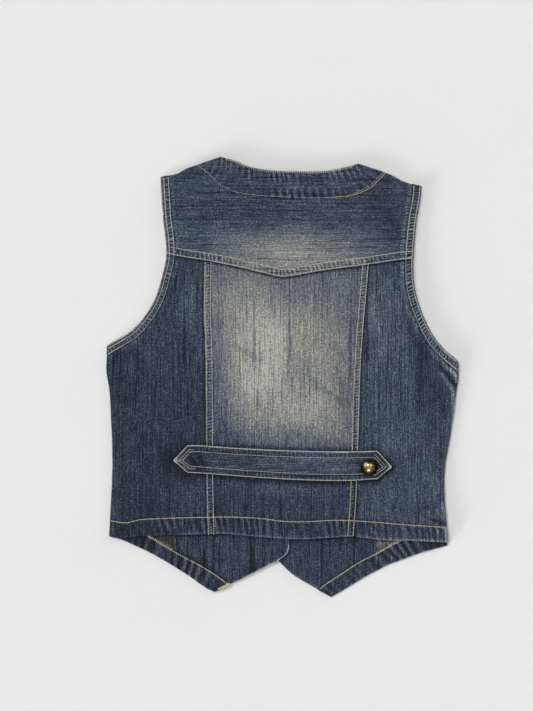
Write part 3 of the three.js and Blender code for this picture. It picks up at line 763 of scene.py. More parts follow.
def cloth_mesh(name, spot, us, vs, under, thickness, fade, kind, grain=straight_grain, wear=0.08):
    """A closed wall of cloth over a patch, with its cloth map, its wear, and the light and shade painted
    into its colour.
    """
    u, v = np.meshgrid(us, vs)
    spots = spot(u, v)
    x, y = spots[..., 0], spots[..., 1]
    height, worn, painted_shade = sewn(kind, x, y)
    low = under(x, y)
    high = low + thickness(x, y, v) + height
    radius = EDGE_ROUNDNESS * (high - low)
    rim = rim_distance(spots)
    short = np.maximum(0, 1 - rim / radius)
    drop = radius * (1 - np.sqrt(np.maximum(0, 1 - short**2)))
    high, low = high - drop, low + drop
    pale = fade(x, y)
    worn = worn + wear * bell(rim, 1.1) * (1 + 0.7 * mottle(x, y, 3.1, 3.1, 17))
    # painted shade darkens the colour towards one dark tone
    worn = worn - painted_shade * (pale + worn - PAINTED_SHADE_TONE)
    cross, along = grain(x, y, u, v)

    bm = bmesh.new()
    map_layer = bm.loops.layers.uv.new("cloth")
    # The fade and worn layers hold the dye's fade and wear, and also painted light and shade: shadow below
    # the back's hem and round the belt, shade in creases, light and shade on folds, a highlight on the hem.
    fade_layer = bm.verts.layers.float.new("fade")
    worn_layer = bm.verts.layers.float.new("worn")
    columns, rows = len(us) - 1, len(vs) - 1
    bmesh.ops.create_grid(bm, x_segments=columns, y_segments=rows, size=0.5)
    made = bmesh.ops.extrude_face_region(bm, geom=bm.faces[:], use_keep_orig=True)
    upper = {part for part in made["geom"] if isinstance(part, bmesh.types.BMVert)}
    place = {}
    for vert in bm.verts:
        j = round((0.5 - vert.co.y) * rows)
        i = round((vert.co.x + 0.5) * columns)
        z = high[j, i] if vert in upper else low[j, i]
        vert.co = Vector((x[j, i], y[j, i], z)) * MM
        vert[fade_layer] = pale[j, i]
        vert[worn_layer] = worn[j, i]
        place[vert] = (cross[j, i] * MM, along[j, i] * MM)
    for face in bm.faces:
        face.smooth = True
        for loop in face.loops:
            loop[map_layer].uv = place[loop.vert]
    bmesh.ops.recalc_face_normals(bm, faces=bm.faces[:])
    for face in bm.faces:
        face.material_index = int(face.normal.z > 0.3)
    return mesh_object(name, bm)


def mesh_object(name, bm):
    """Makes an object of a bmesh, at the origin."""
    mesh = bpy.data.meshes.new(name)
    bm.to_mesh(mesh)
    bm.free()
    made = bpy.data.objects.new(name, mesh)
    bpy.context.scene.collection.objects.link(made)
    return made


# Materials


def linear(code):
    """A linear colour from an sRGB hex value."""
    parts = [int(code[i : i + 2], 16) / 255 for i in (1, 3, 5)]
    return (*(c / 12.92 if c <= 0.04045 else ((c + 0.055) / 1.055) ** 2.4 for c in parts), 1.0)


def add_node(tree, kind, inputs=None, out=0, **settings):
    """Adds a node, with its settings and its inputs set or linked, and gives one of its outputs."""
    made = tree.nodes.new(kind)
    for name, value in settings.items():
        setattr(made, name, value)
    for name, value in (inputs or {}).items():
        if isinstance(value, bpy.types.NodeSocket):
            tree.links.new(value, made.inputs[name])
        else:
            made.inputs[name].default_value = value
    return made.outputs[out] if made.outputs else None


def set_steps(ramp, steps):
    """Gives a colour ramp its steps, from an output of its node."""
    elements = ramp.node.color_ramp.elements
    while len(elements) < len(steps):
        elements.new(1.0)
    for element, (place, colour) in zip(elements, steps):
        element.position = place
        element.color = linear(colour) if isinstance(colour, str) else colour
    return ramp


def empty_material(name):
    """A material without nodes."""
    material = bpy.data.materials.new(name)
    material.use_nodes = True
    material.node_tree.nodes.clear()
    return material


def finished(material, inputs):
    """A material that ends in one shader."""
    tree = material.node_tree
    shader = add_node(tree, "ShaderNodeBsdfPrincipled", inputs)
    add_node(tree, "ShaderNodeOutputMaterial", {"Surface": shader})
    return material


# The yarns that make the slub: size across the warp, size along it, share in the colour, in the
# bump. The finest are drawn about three times too coarse, so that they still show from a step away.
YARNS = [
    (1.3, 5.0, 0.5, 0.4),
    (1.4, 16.0, 0.65, 0.5),
    (1.2, 120.0, 0.4, 0.1),
    (2.8, 60.0, 0.3, 0.15),
    (1.5, 1.7, 1.2, 0.6),
    (2.6, 2.2, 0.5, 0.2),
    (8.0, 1.4, 0.4, 0.35),
    (14.0, 18.0, 0.2, 0.0),
]
# The gaps between slubs: size across, size along, width of the line, depth
SLUB_GAPS = [(4.0, 60.0, 0.024, 0.12), (5.0, 420.0, 0.025, 0.2)]
DENIM_STEPS = [  # from raw indigo to pale blue, where only the high points are worn
    (0.0, "#161922"),
    (0.2, "#272E3B"),
    (0.35, "#3B4255"),
    (0.5, "#545E6E"),
    (0.65, "#737C8B"),
    (0.8, "#969DA6"),
    (1.0, "#BEC1C2"),
]
WORN_STEPS = [  # from raw indigo to bare cotton, where a whole place is worn
    (0.0, "#161922"),
    (0.2, "#272E3B"),
    (0.35, "#3B4254"),
    (0.5, "#555D6B"),
    (0.65, "#72787B"),
    (0.8, "#95958A"),
    (1.0, "#BDBAA9"),
]
BARENESS = (5.5, -2.0)  # how far a place goes to the worn steps: times its fade, and added
STRENGTH = (-1.0, 1.42)  # how strong its colour is: times its fade, and added
INSIDE_STEPS = [  # the wrong side, where the undyed weft shows
    (0.0, "#1E1F24"),
    (0.3, "#434346"),
    (0.55, "#6E6D6B"),
    (1.0, "#A9A69C"),
]


def denim(name, steps, worn_steps, contrast=0.5):
    """Washed slub denim: uneven yarns, pale weft between dark warp, and worn high points. It gives
    long broken streaks along the warp, and a matt surface that goes paler wherever it stands up.
    Its fade and worn attributes also bring the light and shade painted into the cloth's colour."""
    material = empty_material(name)
    tree = material.node_tree
    cloth_map = add_node(tree, "ShaderNodeUVMap", uv_map="cloth")
    fade, worn = (
        add_node(tree, "ShaderNodeAttribute", out="Fac", attribute_name=layer) for layer in ("fade", "worn")
    )

    def streaks(across, along, detail):
        """Noise drawn out to yarns of a given size."""
        size = (1 / (across * MM), 1 / (along * MM), 1)
        drawn = add_node(tree, "ShaderNodeVectorMath", {0: cloth_map, 1: size}, operation="MULTIPLY")
        settings = {"Vector": drawn, "Scale": 1.0, "Detail": detail}
        return add_node(tree, "ShaderNodeTexNoise", settings, noise_dimensions="2D")

    def weighted(value, weight, rest, **settings):
        """A value times its weight, added to the rest."""
        parts = {0: value, 1: weight, 2: rest}
        return add_node(tree, "ShaderNodeMath", parts, operation="MULTIPLY_ADD", **settings)

    tone = add_node(tree, "ShaderNodeMath", {0: worn, 1: fade}, operation="ADD")
    relief = 0.0
    for across, along, share, raised in YARNS:
        noise = streaks(across, along, 1.0)
        yarn = add_node(tree, "ShaderNodeMath", {0: noise, 1: 0.5}, operation="SUBTRACT")
        tone = weighted(yarn, share * contrast, tone)
        relief = weighted(yarn, raised, relief)
    for across, along, width, depth in SLUB_GAPS:
        parts = {0: streaks(across, along, 0.0), 1: 0.5, 2: width}
        gap = add_node(tree, "ShaderNodeMath", parts, operation="COMPARE")
        tone = weighted(gap, -depth, tone)
    dyed, bare = (
        set_steps(add_node(tree, "ShaderNodeValToRGB", {"Fac": tone}), each) for each in (steps, worn_steps)
    )
    bareness = weighted(fade, *BARENESS, use_clamp=True)
    colour = add_node(tree, "ShaderNodeMix", {0: bareness, 6: dyed, 7: bare}, out=2, data_type="RGBA")
    strength = weighted(fade, *STRENGTH, use_clamp=True)
    washed = add_node(tree, "ShaderNodeHueSaturation", {"Color": colour, "Saturation": strength})
    bump = {"Height": relief, "Strength": 0.6, "Distance": 0.6 * MM}
    return finished(material, {
        "Base Color": washed,
        "Roughness": 0.95,
        "Specular IOR Level": 0.15,
        "Sheen Weight": 0.06,
        "Sheen Roughness": 0.6,
        "Normal": add_node(tree, "ShaderNodeBump", bump),
    })


def grainy(tree, size, detail):
    """Fine unevenness, of a given size in millimetres."""
    place = add_node(tree, "ShaderNodeTexCoord", out="Object")
    settings = {"Vector": place, "Scale": 1 / (size * MM), "Detail": detail}
    return add_node(tree, "ShaderNodeTexNoise", settings)


def cotton_thread(name, code):
    """Spun cotton thread, twisted and a little hairy: matt, with a darker side to each ply."""
    material = empty_material(name)
    tree = material.node_tree
    ramp = add_node(tree, "ShaderNodeValToRGB", {"Fac": grainy(tree, 2.4, 1.0)})
    dark = (*(c * 0.62 for c in linear(code)[:3]), 1)
    set_steps(ramp, [(0.3, dark), (0.6, code)])
    return finished(material, {"Base Color": ramp, "Roughness": 0.8, "Specular IOR Level": 0.3})


BRASS_STEPS = [  # from the top of the dome to the rim: painted light, bright on top and dark at the rim, with tarnish in the low places
    (0.15, "#AF9D78"),
    (0.45, "#8A7756"),
    (0.72, "#5F4E38"),
    (0.92, "#33291E"),
    (1.0, "#17130F"),
]


def antique_brass():
    """Antique brass plate on a pressed cap, brown with tarnish in the low places. Its colour also holds
    painted light: bright on the top of the dome and dark towards the rim.
    """
    material = empty_material("antique_brass")
    tree = material.node_tree
    outward = add_node(tree, "ShaderNodeAttribute", out="Fac", attribute_name="outward")
    parts = {0: grainy(tree, 3.0, 3.0), 1: 0.3, 2: outward}
    # tarnish in the low places, and painted light from the top of the dome to the dark rim
    tarnish_and_painted_light = add_node(tree, "ShaderNodeMath", parts, operation="MULTIPLY_ADD")
    ramp = set_steps(add_node(tree, "ShaderNodeValToRGB", {"Fac": tarnish_and_painted_light}), BRASS_STEPS)
    return finished(material, {"Base Color": ramp, "Metallic": 1.0, "Roughness": 0.24})


MATERIALS = {}


def finish_of(name):
    """Makes a material when it is first asked for."""
    colours = bpy.context.scene.vest_colours
    makers = {
        "denim": lambda: denim("slub_denim", DENIM_STEPS, WORN_STEPS),
        "denim_inside": lambda: denim("slub_denim_wrong_side", INSIDE_STEPS, INSIDE_STEPS, 0.4),
        "cream_thread": lambda: cotton_thread("cream_cotton_thread", hex_of(colours.cream)),
        "gold_thread": lambda: cotton_thread("gold_cotton_thread", hex_of(colours.gold)),
        "brass": antique_brass,
    }
    if name not in MATERIALS:
        MATERIALS[name] = makers[name]()
    return MATERIALS[name]


def hex_of(text):
    """A colour's hex value, checked."""
    if len(text) != 7 or text[0] != "#":
        raise ValueError(f"{text!r} is not a colour such as #C8BE9E")
    return text


# Pieces of the back

EDGE = (SEAM_GAP + CHORD_ROOM) / 2  # half the gap between two sewn pieces
YOKE_LAP_WIDTH = 11


def part_of(line, axis, start, end):
    """The part of a line between two values on an axis. None is an end of the line."""
    first = 0 if start is None else line.share_at(axis, start)
    last = 1 if end is None else line.share_at(axis, end)
    return line.stretch(first, last)


def beside_band(which, from_y=None, to_y=None):
    """A panel's edge beside an armhole band, with the seam's gap left out."""
    seam = Line(ARMHOLES[which]["seam"]).moved(INWARD[which] * (SEAM_GAP + CHORD_ROOM))
    return part_of(Line(seam), 1, from_y, to_y)


def shoulder_from(which, x):
    """A shoulder from an X up to the neck."""
    line = SHOULDERS[which]
    return line.stretch(line.share_at(0, x), 0, 12)


def half_off(points, sign):
    """A seam's line, moved by half of its gap."""
    return Line(points).moved(sign * EDGE, 48)


def below_yoke(from_x, to_x):
    """The panels' side of the yoke seam."""
    return part_of(Line(half_off(YOKE_SEAM, -1)), 0, from_x, to_x)


def lapped(x, y, seam, side, width):
    """1 on the lap beside a seam and 0 off it."""
    distance = Line(seam).beside(x, y, width + 4)[0] * side
    return eased(distance, width + 0.9, width) * (distance > -1)


def on_hem(x, y):
    """1 on the turned hem of the back and 0 above it."""
    return eased(y - looked_up(HEM_ROW, 0, x), 1.6, 0.4)


def yoke_rise(x, y):
    """How far the lap and the neck facing raise the yoke."""
    side, _, _ = Line(*NECK_ROW).beside(x, y, 60)
    facing = NECK_FACING_RISE * eased(side, -0.8, 0.8) * (y > 150)
    return np.maximum(LAP_RISE * lapped(x, y, YOKE_SEAM, 1, YOKE_LAP_WIDTH), facing)


def panel_rise(x, y, *laps):
    """How far the turned hem, and the laps of the princess seams, raise a panel."""
    raised = [lapped(x, y, PRINCESS[which], INWARD[which], LAP_WIDTH) for which in laps]
    return LAP_RISE * np.max([on_hem(x, y), *raised], axis=0)


def back_yoke(pitch):
    """The yoke, cut across the grain, with its lap over the panels and the neck facing under it."""
    left, right = beside_band("left", None, 141), beside_band("right", None, 135)
    shoulder_left = shoulder_from("left", left[0][0])
    shoulder_right = shoulder_from("right", right[0][0])[::-1]
    left[0], right[0] = shoulder_left[0], shoulder_right[-1]
    upper = Line(shoulder_left, BACK_NECK, shoulder_right)
    seam = half_off(YOKE_SEAM, 1)
    seam[0], seam[-1] = left[-1], right[-1]
    width, height = 290, 118
    return cloth_mesh(
        "yoke_cloth",
        patch(upper, seam, left, right),
        spaced(width, 0.55 * pitch, *upper.corners),
        spaced(height, 1.1 * pitch, *(1 - closer(height, 1.5, 13, pitch))),
        back_under,
        lambda x, y, v: CLOTH + yoke_rise(x, y),
        lambda x, y: fade_at(x, y, "yoke"),
        "back",
        cross_grain,
    )


def back_centre(pitch):
    """The centre panel, with the laps of both of its seams."""
    left, right = half_off(PRINCESS["left"], 1), half_off(PRINCESS["right"], -1)
    upper = below_yoke(left[0][0], right[0][0])
    lower = part_of(Line(BACK_HEM), 0, left[-1][0], right[-1][0])
    left[0], right[0] = upper[0], upper[-1]
    left[-1], right[-1] = lower[0], lower[-1]
    width, height = 178, 318
    beside_seam = closer(width, 1.5, 12, pitch)
    return cloth_mesh(
        "centre_panel_cloth",
        patch(upper, lower, left, right),
        spaced(width, 1.1 * pitch, *beside_seam, *(1 - beside_seam)),
        spaced(height, 0.55 * pitch),
        back_under,
        lambda x, y, v: CLOTH + panel_rise(x, y, *SIDES),
        lambda x, y: fade_at(x, y, "centre"),
        "back",
    )


def back_side(which, pitch):
    """A side panel, which goes under the lap of the seam beside it."""
    inner = half_off(PRINCESS[which], -INWARD[which])
    armhole = beside_band(which, 139.5 if which == "left" else 133.5)
    upper = below_yoke(*sorted((armhole[0][0], inner[0][0])))
    if which == "left":
        lower = part_of(Line(BACK_HEM), 0, None, inner[-1][0])
    else:
        upper, lower = upper[::-1], part_of(Line(BACK_HEM), 0, inner[-1][0], None)[::-1]
    armhole[0] = upper[0]
    inner[0], inner[-1] = upper[-1], lower[-1]
    outer = Line(armhole, [armhole[-1], *below(SIDE[which], armhole)])
    width, height = 100, 320
    return cloth_mesh(
        f"side_panel_{which}_cloth",
        patch(upper, lower, outer, inner),
        spaced(width, 1.1 * pitch, *closer(width, 1.5, 8, pitch)),
        spaced(height, 0.7 * pitch, *outer.corners),
        back_under,
        lambda x, y, v: CLOTH + panel_rise(x, y),
        lambda x, y: fade_at(x, y, f"side_{which}"),
        "back",
    )


def below(side, armhole):
    """The points of a side that lie clear below the end of its armhole."""
    return [p for p in side if p[1] < armhole[-1][1] - 4]


def band_thickness(x, y):
    """A back band's thickness. The seam of the yoke runs across it and lifts it."""
    above = y - looked_up(YOKE_SEAM, 0, x)
    return BAND_THICKNESS + 0.5 * eased(above, -0.4, 0.4) * eased(above, 15, 9)


def armhole_band(which, layer, under, pitch):
    """A folded strip round an armhole, on the back or on the front."""
    edge, seam = ARMHOLES[which][layer].copy(), ARMHOLES[which]["seam"].copy()
    shoulder = SHOULDERS[which]
    on_back = layer == "back"
    if on_back:
        edge[0] = shoulder.at(shoulder.share_at(0, edge[0][0]))
    seam[0] = shoulder.at(shoulder.share_at(0, seam[0][0]))
    length = Line(edge).length
    return cloth_mesh(
        f"armhole_band_{layer}_{which}_cloth",
        patch([edge[0], seam[0]], [edge[-1], seam[-1]], edge, seam),
        spaced(BAND_WIDTH, 0.5 * pitch),
        spaced(length, 0.45 * pitch),
        under,
        lambda x, y, v: band_thickness(x, y) if on_back else BAND_THICKNESS,
        lambda x, y: fade_at(x, y, "band") + (0.0 if on_back else 0.3),
        "band" if on_back else "front",
        lambda x, y, u, v: (v * length, u * BAND_WIDTH),
    )


# Pieces of the fronts


def neck_and_closing(which):
    """The V of the neck, and then the edge of the closing."""
    neck, bottom = SHOULDER[which][0], (FRONT_EDGE[which], NECK_BOTTOM)
    middle = ((neck[0] + bottom[0]) / 2 + 5 * INWARD[which], (neck[1] + bottom[1]) / 2 - 8)
    return [[neck, middle, bottom], [bottom, POINT[which][-1]]]


def inside_front(which):
    """The height of what lies on the inside of a front."""
    return lambda x, y: FRONT_UNDER[which](x, y) + LAYER


def front_fade_and_shade(x, y):
    """The fronts are seen from inside, where they are evenly dark, with painted shadow below the back's hem
    and painted shade in the corners by the side seams.
    """
    # painted shadow just below the back's hem, and painted shade in the side corners
    painted_shadow = 0.05 * eased(y - looked_up(BACK_HEM, 0, x), -10, -1)
    corner = 0.14 * eased(x, 150, 178) + 0.05 * eased(x, -140, -180)
    return 0.31 - painted_shadow - corner + 0.03 * mottle(x, y, 20, 30, 31)


def front(which, pitch):
    """A front, which shows its wrong side."""
    armhole = beside_band(which)
    shoulder = shoulder_from(which, armhole[0][0])
    armhole[0] = shoulder[0]
    outer = Line(armhole, [armhole[-1], *below(SIDE[which][:-1], armhole), HEM_EDGE[which][0]])
    inner = Line(*neck_and_closing(which))
    lower = Line(HEM_EDGE[which], POINT[which])
    return cloth_mesh(
        f"front_{which}_cloth",
        patch(shoulder, lower, outer, inner),
        spaced(205, 2 * pitch, *lower.corners),
        spaced(430, 2 * pitch, *outer.corners, *inner.corners),
        FRONT_UNDER[which],
        lambda x, y, v: CLOTH,
        lambda x, y: front_fade_and_shade(x, y) + 0.3 - 0.35 * eased(x, -106, -118),
        "front",
    )


def hem_turn(which, pitch):
    """The turned hem of a front, which lies on the inside."""
    stitched, edge = HEM_STITCH[which], HEM_EDGE[which]
    return cloth_mesh(
        f"hem_turn_{which}_cloth",
        patch(stitched, edge, [stitched[0], edge[0]], [stitched[-1], edge[-1]]),
        spaced(160, 0.6 * pitch),
        spaced(20, 0.6 * pitch),
        inside_front(which),
        lambda x, y, v: CLOTH + 0.25 * eased(v, 0.4, 0.28),
        front_fade_and_shade,
        "hem_turn",
        wear=0.2,
    )


def facing(which, pitch):
    """The facing of a front, inside the neck and the closing, down to the turned hem."""
    edge, shoulder = FACING_EDGE[which], SHOULDERS[which]
    start = shoulder.share_at(0, edge[0][0])
    stitched = Line(Line(HEM_STITCH[which]).moved(INWARD[which] * SEAM_GAP))
    along_hem = stitched.stretch(stitched.share_at(0, edge[-1][0]), 0.985)
    along_point = [along_hem[-1], *Line(POINT[which]).stretch(0.3, 1)]
    lower = Line(along_hem, along_point)
    inner = Line(*neck_and_closing(which))
    return cloth_mesh(
        f"front_facing_{which}_cloth",
        patch(
            shoulder.stretch(start, 0, 12),
            lower,
            [shoulder.at(start), *edge[1:-1], along_hem[0]],
            inner,
        ),
        spaced(130, pitch, *lower.corners),
        spaced(430, pitch, *inner.corners),
        inside_front(which),
        lambda x, y, v: CLOTH,
        front_fade_and_shade,
        "front",
        wear=0.3,
    )


# The half belt


def belt_outline(inset):
    """The belt's upper and lower edges, moved in, with the points at their ends."""
    left, right = ((BELT_TIP[w][0] + INWARD[w] * 1.4 * inset, BELT_TIP[w][1]) for w in SIDES)
    reach = BELT_X[-1] - 0.5 * inset
    lines = []
    for edge, sign in ((BELT_EDGES["top"], 1), (BELT_EDGES["bottom"], -1)):
        inner = [(min(max(x, -reach), reach), y - sign * inset) for x, y in edge]
        lines.append(Line([left, inner[0]], inner, [inner[-1], right]))
    return lines


def belt_under(x, y):
    """The belt lies on the laps of the back, with its points standing off."""
    lift = BELT_TIP_LIFT * (eased(x, -98, -124) + eased(x, 100, 125))
    return back_under(x, y) + CLOTH + LAP_RISE + SEAM_GAP + lift


def belt_thickness(x, y):
    """The belt is fuller between its two pairs of stitch rows."""
    upper, lower = (looked_up(BELT_EDGES[edge], 0, x) for edge in ("top", "bottom"))
    edge = np.minimum(upper - y, y - lower)
    between = edge - BELT_PUCKER_ROW
    full = 0.35 * eased(edge, 7.8, 10) + 0.25 * bell(between, 2)
    puckers = 0.3 * ripple(x, 7, 41) * bell(between, 2.45)
    groove = bell(edge - BELT_OUTER_ROW, 1) + bell(edge - BELT_INNER_ROW, 1)
    return BELT_THICKNESS - 0.3 + full + puckers - GROOVE_DEPTH * groove


def belt_top(x, y):
    """The top of the belt, for what is sewn on it."""
    return belt_under(x, y) + belt_thickness(x, y)


def half_belt(pitch):
    """The belt, a folded strip cut across the grain."""
    top, bottom = BELT_EDGES["top"], BELT_EDGES["bottom"]

    def stub_of(which, i):
        """The short end that a point is cut to."""
        tip = np.array(BELT_TIP[which])
        return tip + (np.array([top[i], bottom[i]], float) - tip) * 0.06

    left, right = stub_of("left", 0), stub_of("right", -1)
    upper = Line([left[0], top[0]], top, [top[-1], right[0]])
    lower = Line([left[1], bottom[0]], bottom, [bottom[-1], right[1]])
    return cloth_mesh(
        "half_belt_cloth",
        patch(upper, lower, left, right),
        spaced(250, 0.6 * pitch, *upper.corners),
        spaced(34, 0.45 * pitch),
        belt_under,
        lambda x, y, v: belt_thickness(x, y),
        lambda x, y: fade_at(x, y, "belt"),
        "belt",
        cross_grain,
        wear=0.2,
    )


# Stitches

STITCH = 2.6  # how long one stitch is
FULLNESS = 0.3  # how round a stitch is along its length: 1 is an egg and 0 a rod


def thread_loop(length, width):
    """One stitch: a short thread that dives into the cloth at both ends."""
    bm = bmesh.new()
    bmesh.ops.create_uvsphere(bm, u_segments=6, v_segments=5, radius=0.5)
    for vert in bm.verts:
        ring = vert.co.xy
        vert.co.xy = ring.normalized() * 0.5 * (2 * ring.length) ** FULLNESS
        vert.co.z = math.copysign(0.5 * abs(2 * vert.co.z) ** (2 * FULLNESS), vert.co.z)
    bmesh.ops.scale(bm, vec=(width, width * 0.9, length), verts=bm.verts[:])
    bmesh.ops.rotate(bm, matrix=Matrix.Rotation(math.pi / 2, 3, "Y"), verts=bm.verts[:])
    mesh = bpy.data.meshes.new("stitch")
    bm.to_mesh(mesh)
    bm.free()
    return mesh


def stitches(name, rows, thread, gap):
    """Rows of stitches as one object. A row is a line, its surface, the length of a stitch along
    it, the reach of a stitch that lies across it or 0, and how much thicker its thread is."""
    bm = bmesh.new()
    for line, surface, length, across, thicker in rows:
        width = thread * thicker
        one = thread_loop(across or length, width)
        count = max(2, round(line.length / (length + gap)))
        share = (np.arange(count) + 0.5) / count
        spots, ways = line.at(share), line.heading(share)
        if across:
            ways = leftward(ways)
        reach = (across or length) / 2
        ends = [surface(*(spots + ways * reach * side).T) for side in (-1, 1)]
        middle = surface(*spots.T)
        for (x, y), (wx, wy), z, z0, z1 in zip(spots, ways, middle, *ends):
            start = len(bm.verts)
            bm.from_mesh(one)
            bm.verts.ensure_lookup_table()
            tilt = Matrix.Rotation(-math.atan2(z1 - z0, 2 * reach), 4, "Y")
            turn = Matrix.Rotation(math.atan2(wy, wx), 4, "Z")
            place = Matrix.Translation((x, y, z + width * 0.12))
            bmesh.ops.transform(bm, matrix=place @ turn @ tilt, verts=bm.verts[start:])
        bpy.data.meshes.remove(one)
    bmesh.ops.scale(bm, vec=(MM, MM, MM), verts=bm.verts[:])
    for face in bm.faces:
        face.smooth = True
    return mesh_object(name, bm)


def back_surface(x, y):
    """The top of the back at any point, for what is sewn on it."""
    on_panels = y < looked_up(YOKE_SEAM, 0, x)
    rise = np.maximum(yoke_rise(x, y), panel_rise(x, y, *SIDES) * on_panels)
    return back_under(x, y) + CLOTH + rise + sewn("back", x, y)[0]


def band_surface(x, y):
    """The top of an armhole band on the back."""
    return back_band_under(x, y) + band_thickness(x, y) + sewn("band", x, y)[0]


def hem_turn_surface(which):
    """The top of a front's turned hem."""
    under = inside_front(which)
    return lambda x, y: under(x, y) + CLOTH + 0.2 + sewn("hem_turn", x, y)[0]


def top_surface(x, y):
    """The top of the back or of its bands, whichever is there."""
    on_band = np.zeros(x.shape, bool)
    for which in SIDES:
        side, _, _ = Line(ARMHOLE[which]).beside(x, y, 14)
        on_band |= np.abs(side) < BAND_WIDTH + 0.4
    return np.where(on_band, band_surface(x, y) + 0.2, back_surface(x, y))


def cut_to(line, start, end):
    """The part of a line between two shares of its length, as a line."""
    return Line(line.stretch(start, end, 200))


def plain(surface, thicker, *lines):
    """Rows of plain stitches on a surface."""
    return [(line, surface, STITCH, 0, thicker) for line in lines]


def cream_rows():
    """The cream rows: seams of the back, armhole bands, the belt and the whipped neck edge."""
    rows = plain(top_surface, 1.1, *(cut_to(line, 0.003, 0.997) for line in ROWS["yoke"]))
    rows += plain(back_surface, 0.85, *ROWS["princess_left"])
    rows += plain(back_surface, 1.0, *ROWS["princess_right"])
    for which, seam_y, outer in (("left", 141, 1.4), ("right", 134, 1.15)):
        for line, on_yoke, on_side in zip(ROWS[f"armhole_{which}"], (outer, 1.1), (0.9, 0.5)):
            ends = (0.004, line.share_at(1, seam_y), 0.91, 0.996)
            for start, end, thicker in zip(ends, ends[1:], (on_yoke, on_side, 1.2)):
                rows += plain(band_surface, thicker, cut_to(line, start, end))
    for line, thicker in zip(belt_outline(BELT_OUTER_ROW), (1.3, 1.05)):
        rows += plain(belt_top, thicker, line)
    rows += plain(belt_top, 0.65, *belt_outline(BELT_INNER_ROW))
    for line in belt_outline(5.2):
        rows += plain(belt_top, 0.7, cut_to(line, 0, 0.09), cut_to(line, 0.92, 1))
    rows += plain(belt_top, 1.9, cut_to(belt_outline(1.2)[0], 0.73, 0.79))
    neck = Line(Line(BACK_NECK).moved(-1.0))
    rows.append((cut_to(neck, 0.04, 0.97), back_surface, 2.2, 3.0, 1.0))
    for which, start, end in (("left", 0.22, 0.5), ("right", 0.28, 0.52)):
        edge = cut_to(Line(HEM_STITCH[which]), start, end)
        rows.append((edge, hem_turn_surface(which), 1.9, 2.2, 0.8))
    return rows


def gold_rows():
    """The gold rows: the hems, the back-neck facing and the bar at the left point."""
    rows = []
    for name, thicker in (("hem", 1.05), ("neck", 0.5), ("neck_again", 0.75)):
        rows += plain(back_surface, thicker, *ROWS[name])
    for which in SIDES:
        line = cut_to(*ROWS[f"front_hem_{which}"], 0.02, 0.98)
        rows += plain(hem_turn_surface(which), 1.05, line)
    bar = Line([(-73.5, -244.2), (-60.0, -237.4)])
    rows.append((bar, hem_turn_surface("left"), 0.8, 3.4, 1.4))
    return rows


# Buttons

BUTTON_PROFILE = [  # distance in from the rim and height, from the back to the dome
    (0.9, 0.0), (0.2, 0.35), (0.0, 0.9), (0.25, 1.45), (0.9, 1.65), (1.4, 1.6), (2.0, 1.95), (3.2, 2.6),
    (4.6, 3.1), (6.2, 3.5), (7.8, 3.73),
]


def button_cap(name, x, y, z, face):
    """A domed cap with a rolled rim and a sunk ring, spun from its profile."""
    radius = BUTTON_DIAMETER / 2
    profile = [(0.0, 0.0), *((radius - inward, h) for inward, h in BUTTON_PROFILE), (0.0, BUTTON_HEIGHT)]
    bm = bmesh.new()
    outward = bm.verts.layers.float.new("outward")
    verts = [bm.verts.new((r, 0, h)) for r, h in profile]
    edges = [bm.edges.new(pair) for pair in zip(verts, verts[1:])]
    turn = {"cent": (0, 0, 0), "axis": (0, 0, 1), "angle": 2 * math.pi, "steps": 48}
    bmesh.ops.spin(bm, geom=[*verts, *edges], use_merge=True, **turn)
    bmesh.ops.remove_doubles(bm, verts=bm.verts[:], dist=1e-4)
    for vert in bm.verts:
        vert[outward] = vert.co.xy.length / radius
    if face < 0:
        bmesh.ops.rotate(bm, matrix=Matrix.Rotation(math.pi, 3, "X"), verts=bm.verts[:])
    bmesh.ops.translate(bm, vec=(x, y, z), verts=bm.verts[:])
    bmesh.ops.scale(bm, vec=(MM, MM, MM), verts=bm.verts[:])
    bmesh.ops.recalc_face_normals(bm, faces=bm.faces[:])
    for each in bm.faces:
        each.smooth = True
    return mesh_object(name, bm)


# What Blender is told


class VestSizes(bpy.types.PropertyGroup):
    """Sizes of the cloth and of its sewing."""

    pitch: bpy.props.FloatProperty(
        name="Cloth mesh",
        description="Distance between two rows of the cloth's mesh, in millimetres",
        default=2.0,
        min=1.2,
        max=8.0,
    )
    thread: bpy.props.FloatProperty(
        name="Thread",
        description="Thickness of the topstitching thread",
        default=0.00105,
        min=0.0003,
        max=0.002,
        unit="LENGTH",
    )
    stitch_gap: bpy.props.FloatProperty(
        name="Stitch gap",
        description="Distance between two stitches of a row",
        default=0.0003,
        min=0.0,
        max=0.003,
        unit="LENGTH",
    )


class VestColours(bpy.types.PropertyGroup):
    """Colours of the threads, as hex values."""

    cream: bpy.props.StringProperty(
        name="Cream thread",
        description="Colour of the thread of the seams, the bands and the belt",
        default="#CBC8B8",
    )
    gold: bpy.props.StringProperty(
        name="Gold thread",
        description="Colour of the thread of the hems and the neck facing",
        default="#D2C7A2",
    )


def dressed(piece, node, finish="denim"):
    """Gives a cloth piece its finishes and its body, and hides the frame's part that it stands for."""
    for name in ("denim", finish):
        piece.data.materials.append(finish_of(name))
    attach(piece, "root")
    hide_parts(node)


class VEST_OT_back(bpy.types.Operator):
    """Makes the yoke, the centre panel and the side panels of the back"""

    bl_idname = "vest.back"
    bl_label = "Back"

    def execute(self, context):
        pitch = context.scene.vest_sizes.pitch
        dressed(back_yoke(pitch), "back_yoke")
        dressed(back_centre(pitch), "back_centre_panel")
        for which in SIDES:
            dressed(back_side(which, pitch), f"back_side_panel_{which}")
        return {"FINISHED"}


